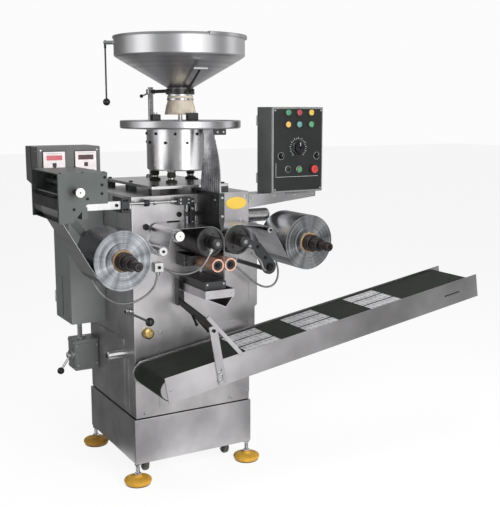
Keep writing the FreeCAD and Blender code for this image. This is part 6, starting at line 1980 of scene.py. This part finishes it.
@dataclass
class Studio:
    """A pale floor, a ring of light and dark walls that only reflections see, and lamps."""

    walls: tuple[tuple[float, float, float, float], ...] = (
        (-180.0, -150.0, 0.5, 0.3), (-150.0, -96.0, 0.14, 0.14), (-96.0, -74.0, 0.6, 0.14), (-74.0, -44.0, 1.5, 0.2),
        (-44.0, 8.0, 0.34, 0.25), (8.0, 36.0, 2.5, 0.6), (36.0, 60.0, 1.2, 0.75), (60.0, 92.0, 0.26, 0.36),
        (92.0, 112.0, 1.1, 0.4), (112.0, 180.0, 0.5, 0.3))
    inner: float = 0.5
    radius: float = 3.2
    height: float = 4.0

    def build(self) -> None:
        """Set up the light and the floor."""
        scene = bpy.context.scene
        scene.view_settings.view_transform = "Standard"
        self.world()
        self.floor()
        for start, end, glow, low_glow in self.walls:
            self.sector(start, end, glow, [(self.radius, 0.02), (self.radius, self.height)])
            self.sector(start, end, low_glow, [(self.inner, 0.02), (self.radius, 0.02)])
        self.sector(-180.0, 180.0, 0.4, [(0.0, self.height), (self.radius, self.height)])
        self.lamp("key", 38.0, 4.2, 2.3, 2.2, 185.0)
        self.lamp("fill", -40.0, 4.4, 1.9, 2.4, 12.0)
        self.lamp("top", 0.0, 0.6, 4.5, 3.0, 80.0)

    def heading(self, azimuth: float) -> Vector:
        """Give the level direction that lies this many degrees round from the camera."""
        turn = math.radians(azimuth)
        return Vector((-0.497, -0.868, 0)) * math.cos(turn) + Vector((0.868, -0.497, 0)) * math.sin(turn)

    def emitter(self, name: str, glow: float) -> Material:
        """Make a glowing material.

        Args:
            name: its name.
            glow: its strength.

        Returns:
            The material.
        """
        made = bpy.data.materials.new(name)
        made.use_nodes = True
        tree = made.node_tree
        tree.nodes.clear()
        light = add(tree, "Emission", {"Strength": glow})
        add(tree, "OutputMaterial", {"Surface": light.outputs[0]})
        return made

    def sector(self, start: float, end: float, glow: float, edge: list[Flat]) -> None:
        """Spin one board round the machine, seen only in reflections.

        Args:
            start: its first azimuth, in degrees from the camera.
            end: its last azimuth.
            glow: how bright it is.
            edge: radius and height of both ends of the line that is spun.
        """
        solid = bmesh.new()
        middle = Vector((0.1, -0.1, 0))
        ends = [solid.verts.new(self.heading(start) * r + middle + Vector((0, 0, h))) for r, h in edge]
        bmesh.ops.spin(solid, geom=[*ends, solid.edges.new(ends)], cent=middle, axis=(0, 0, 1),
                       dvec=(0, 0, 0), angle=math.radians(end - start), steps=16)
        name = f"reflected_board_{len(bpy.data.meshes)}"
        mesh = bpy.data.meshes.new(name)
        solid.to_mesh(mesh)
        solid.free()
        mesh.materials.append(self.emitter(name, glow))
        board = bpy.data.objects.new(name, mesh)
        bpy.context.scene.collection.objects.link(board)
        board.visible_camera = False
        board.visible_diffuse = False
        board.visible_shadow = False

    def lamp(self, name: str, azimuth: float, away: float, height: float, size: float, power: float) -> None:
        """Hang one soft lamp that looks at the machine's middle.

        Args:
            name: its name.
            azimuth: degrees round from the camera.
            away: level distance from the middle, in metres.
            height: its height.
            size: its width.
            power: its power in watts.
        """
        light = bpy.data.lights.new(name, "AREA")
        light.size = size
        light.energy = power
        lamp = bpy.data.objects.new(name, light)
        lamp.location = self.heading(azimuth) * away + Vector((0.1, -0.1, height))
        lamp.visible_glossy = False
        lamp.rotation_euler = (Vector((0.1, -0.1, 1.0)) - lamp.location).to_track_quat("-Z", "Y").to_euler()
        bpy.context.scene.collection.objects.link(lamp)

    def world(self) -> None:
        """Make the sky white for the camera and for reflections, and plain grey light for the rest."""
        world = bpy.data.worlds.new("studio")
        world.use_nodes = True
        bpy.context.scene.world = world
        tree = world.node_tree
        tree.nodes.clear()
        seen = self.seen(tree)
        strength = add(tree, "MapRange", {"Value": seen, "To Min": 0.24, "To Max": 0.97})
        sky = add(tree, "Background", {"Color": (1.0, 1.0, 1.0, 1.0), "Strength": strength.outputs[0]})
        add(tree, "OutputWorld", {"Surface": sky.outputs[0]})

    def seen(self, tree: NodeTree) -> NodeSocket:
        """Give 1 for rays from the camera, reflections and clear materials, and 0 for the rest.

        Args:
            tree: the nodes to add to.

        Returns:
            The value.
        """
        path = add(tree, "LightPath")
        first = add(tree, "Math", {0: path.outputs["Is Camera Ray"], 1: path.outputs["Is Glossy Ray"]},
                    operation="MAXIMUM")
        both = add(tree, "Math", {0: first.outputs[0], 1: path.outputs["Is Transmission Ray"]}, operation="MAXIMUM")
        return both.outputs[0]

    def floor(self) -> None:
        """Lay a wide pale floor that keeps the machine's shadow."""
        solid = bmesh.new()
        bmesh.ops.create_grid(solid, x_segments=1, y_segments=1, size=30.0)
        mesh = bpy.data.meshes.new("studio_floor")
        solid.to_mesh(mesh)
        solid.free()
        made = bpy.data.materials.new("studio_floor_paper")
        made.use_nodes = True
        tree = made.node_tree
        tree.nodes.clear()
        paper = add(tree, "BsdfDiffuse", {"Color": (0.9, 0.9, 0.9, 1.0)})
        light = add(tree, "Emission", {"Strength": 1.05})
        amount = add(tree, "Math", {0: self.seen(tree), 1: 0.84}, operation="MULTIPLY")
        mixed = add(tree, "MixShader", {0: amount.outputs[0], 1: paper.outputs[0], 2: light.outputs[0]})
        add(tree, "OutputMaterial", {"Surface": mixed.outputs[0]})
        mesh.materials.append(made)
        floor = bpy.data.objects.new("studio_floor", mesh)
        bpy.context.scene.collection.objects.link(floor)


def camera() -> None:
    """Set the camera where the photograph was taken from."""
    view = bpy.data.cameras.new("photo_camera")
    view.lens = 61.15
    view.sensor_width = 36.0
    view.sensor_fit = "AUTO"
    view.clip_end = 60.0
    eye = bpy.data.objects.new("photo_camera", view)
    eye.location = (-1.6841, -3.7515, 1.6809)
    eye.rotation_euler = (math.radians(80.569), 0.0, math.radians(-29.788))
    bpy.context.scene.collection.objects.link(eye)
    bpy.context.scene.camera = eye


def main() -> None:
    """Load the frame, set the camera, dress every sub-assembly and light it."""
    logging.basicConfig(level=logging.INFO, format="%(name)s: %(message)s")
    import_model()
    camera()
    for part in (Conduits(), Base(), Cabinet(), Feeder(), Hopper(), FeedTracks(), SealingUnit(), Foils(),
                 PrintingUnit(), Arms(), TrayAndCutter(), Conveyor(), LeftBoxes(), ControlBox(), Studio()):
        log.info("building %s", type(part).__name__)
        part.build()


if __name__ == "__main__":
    main()
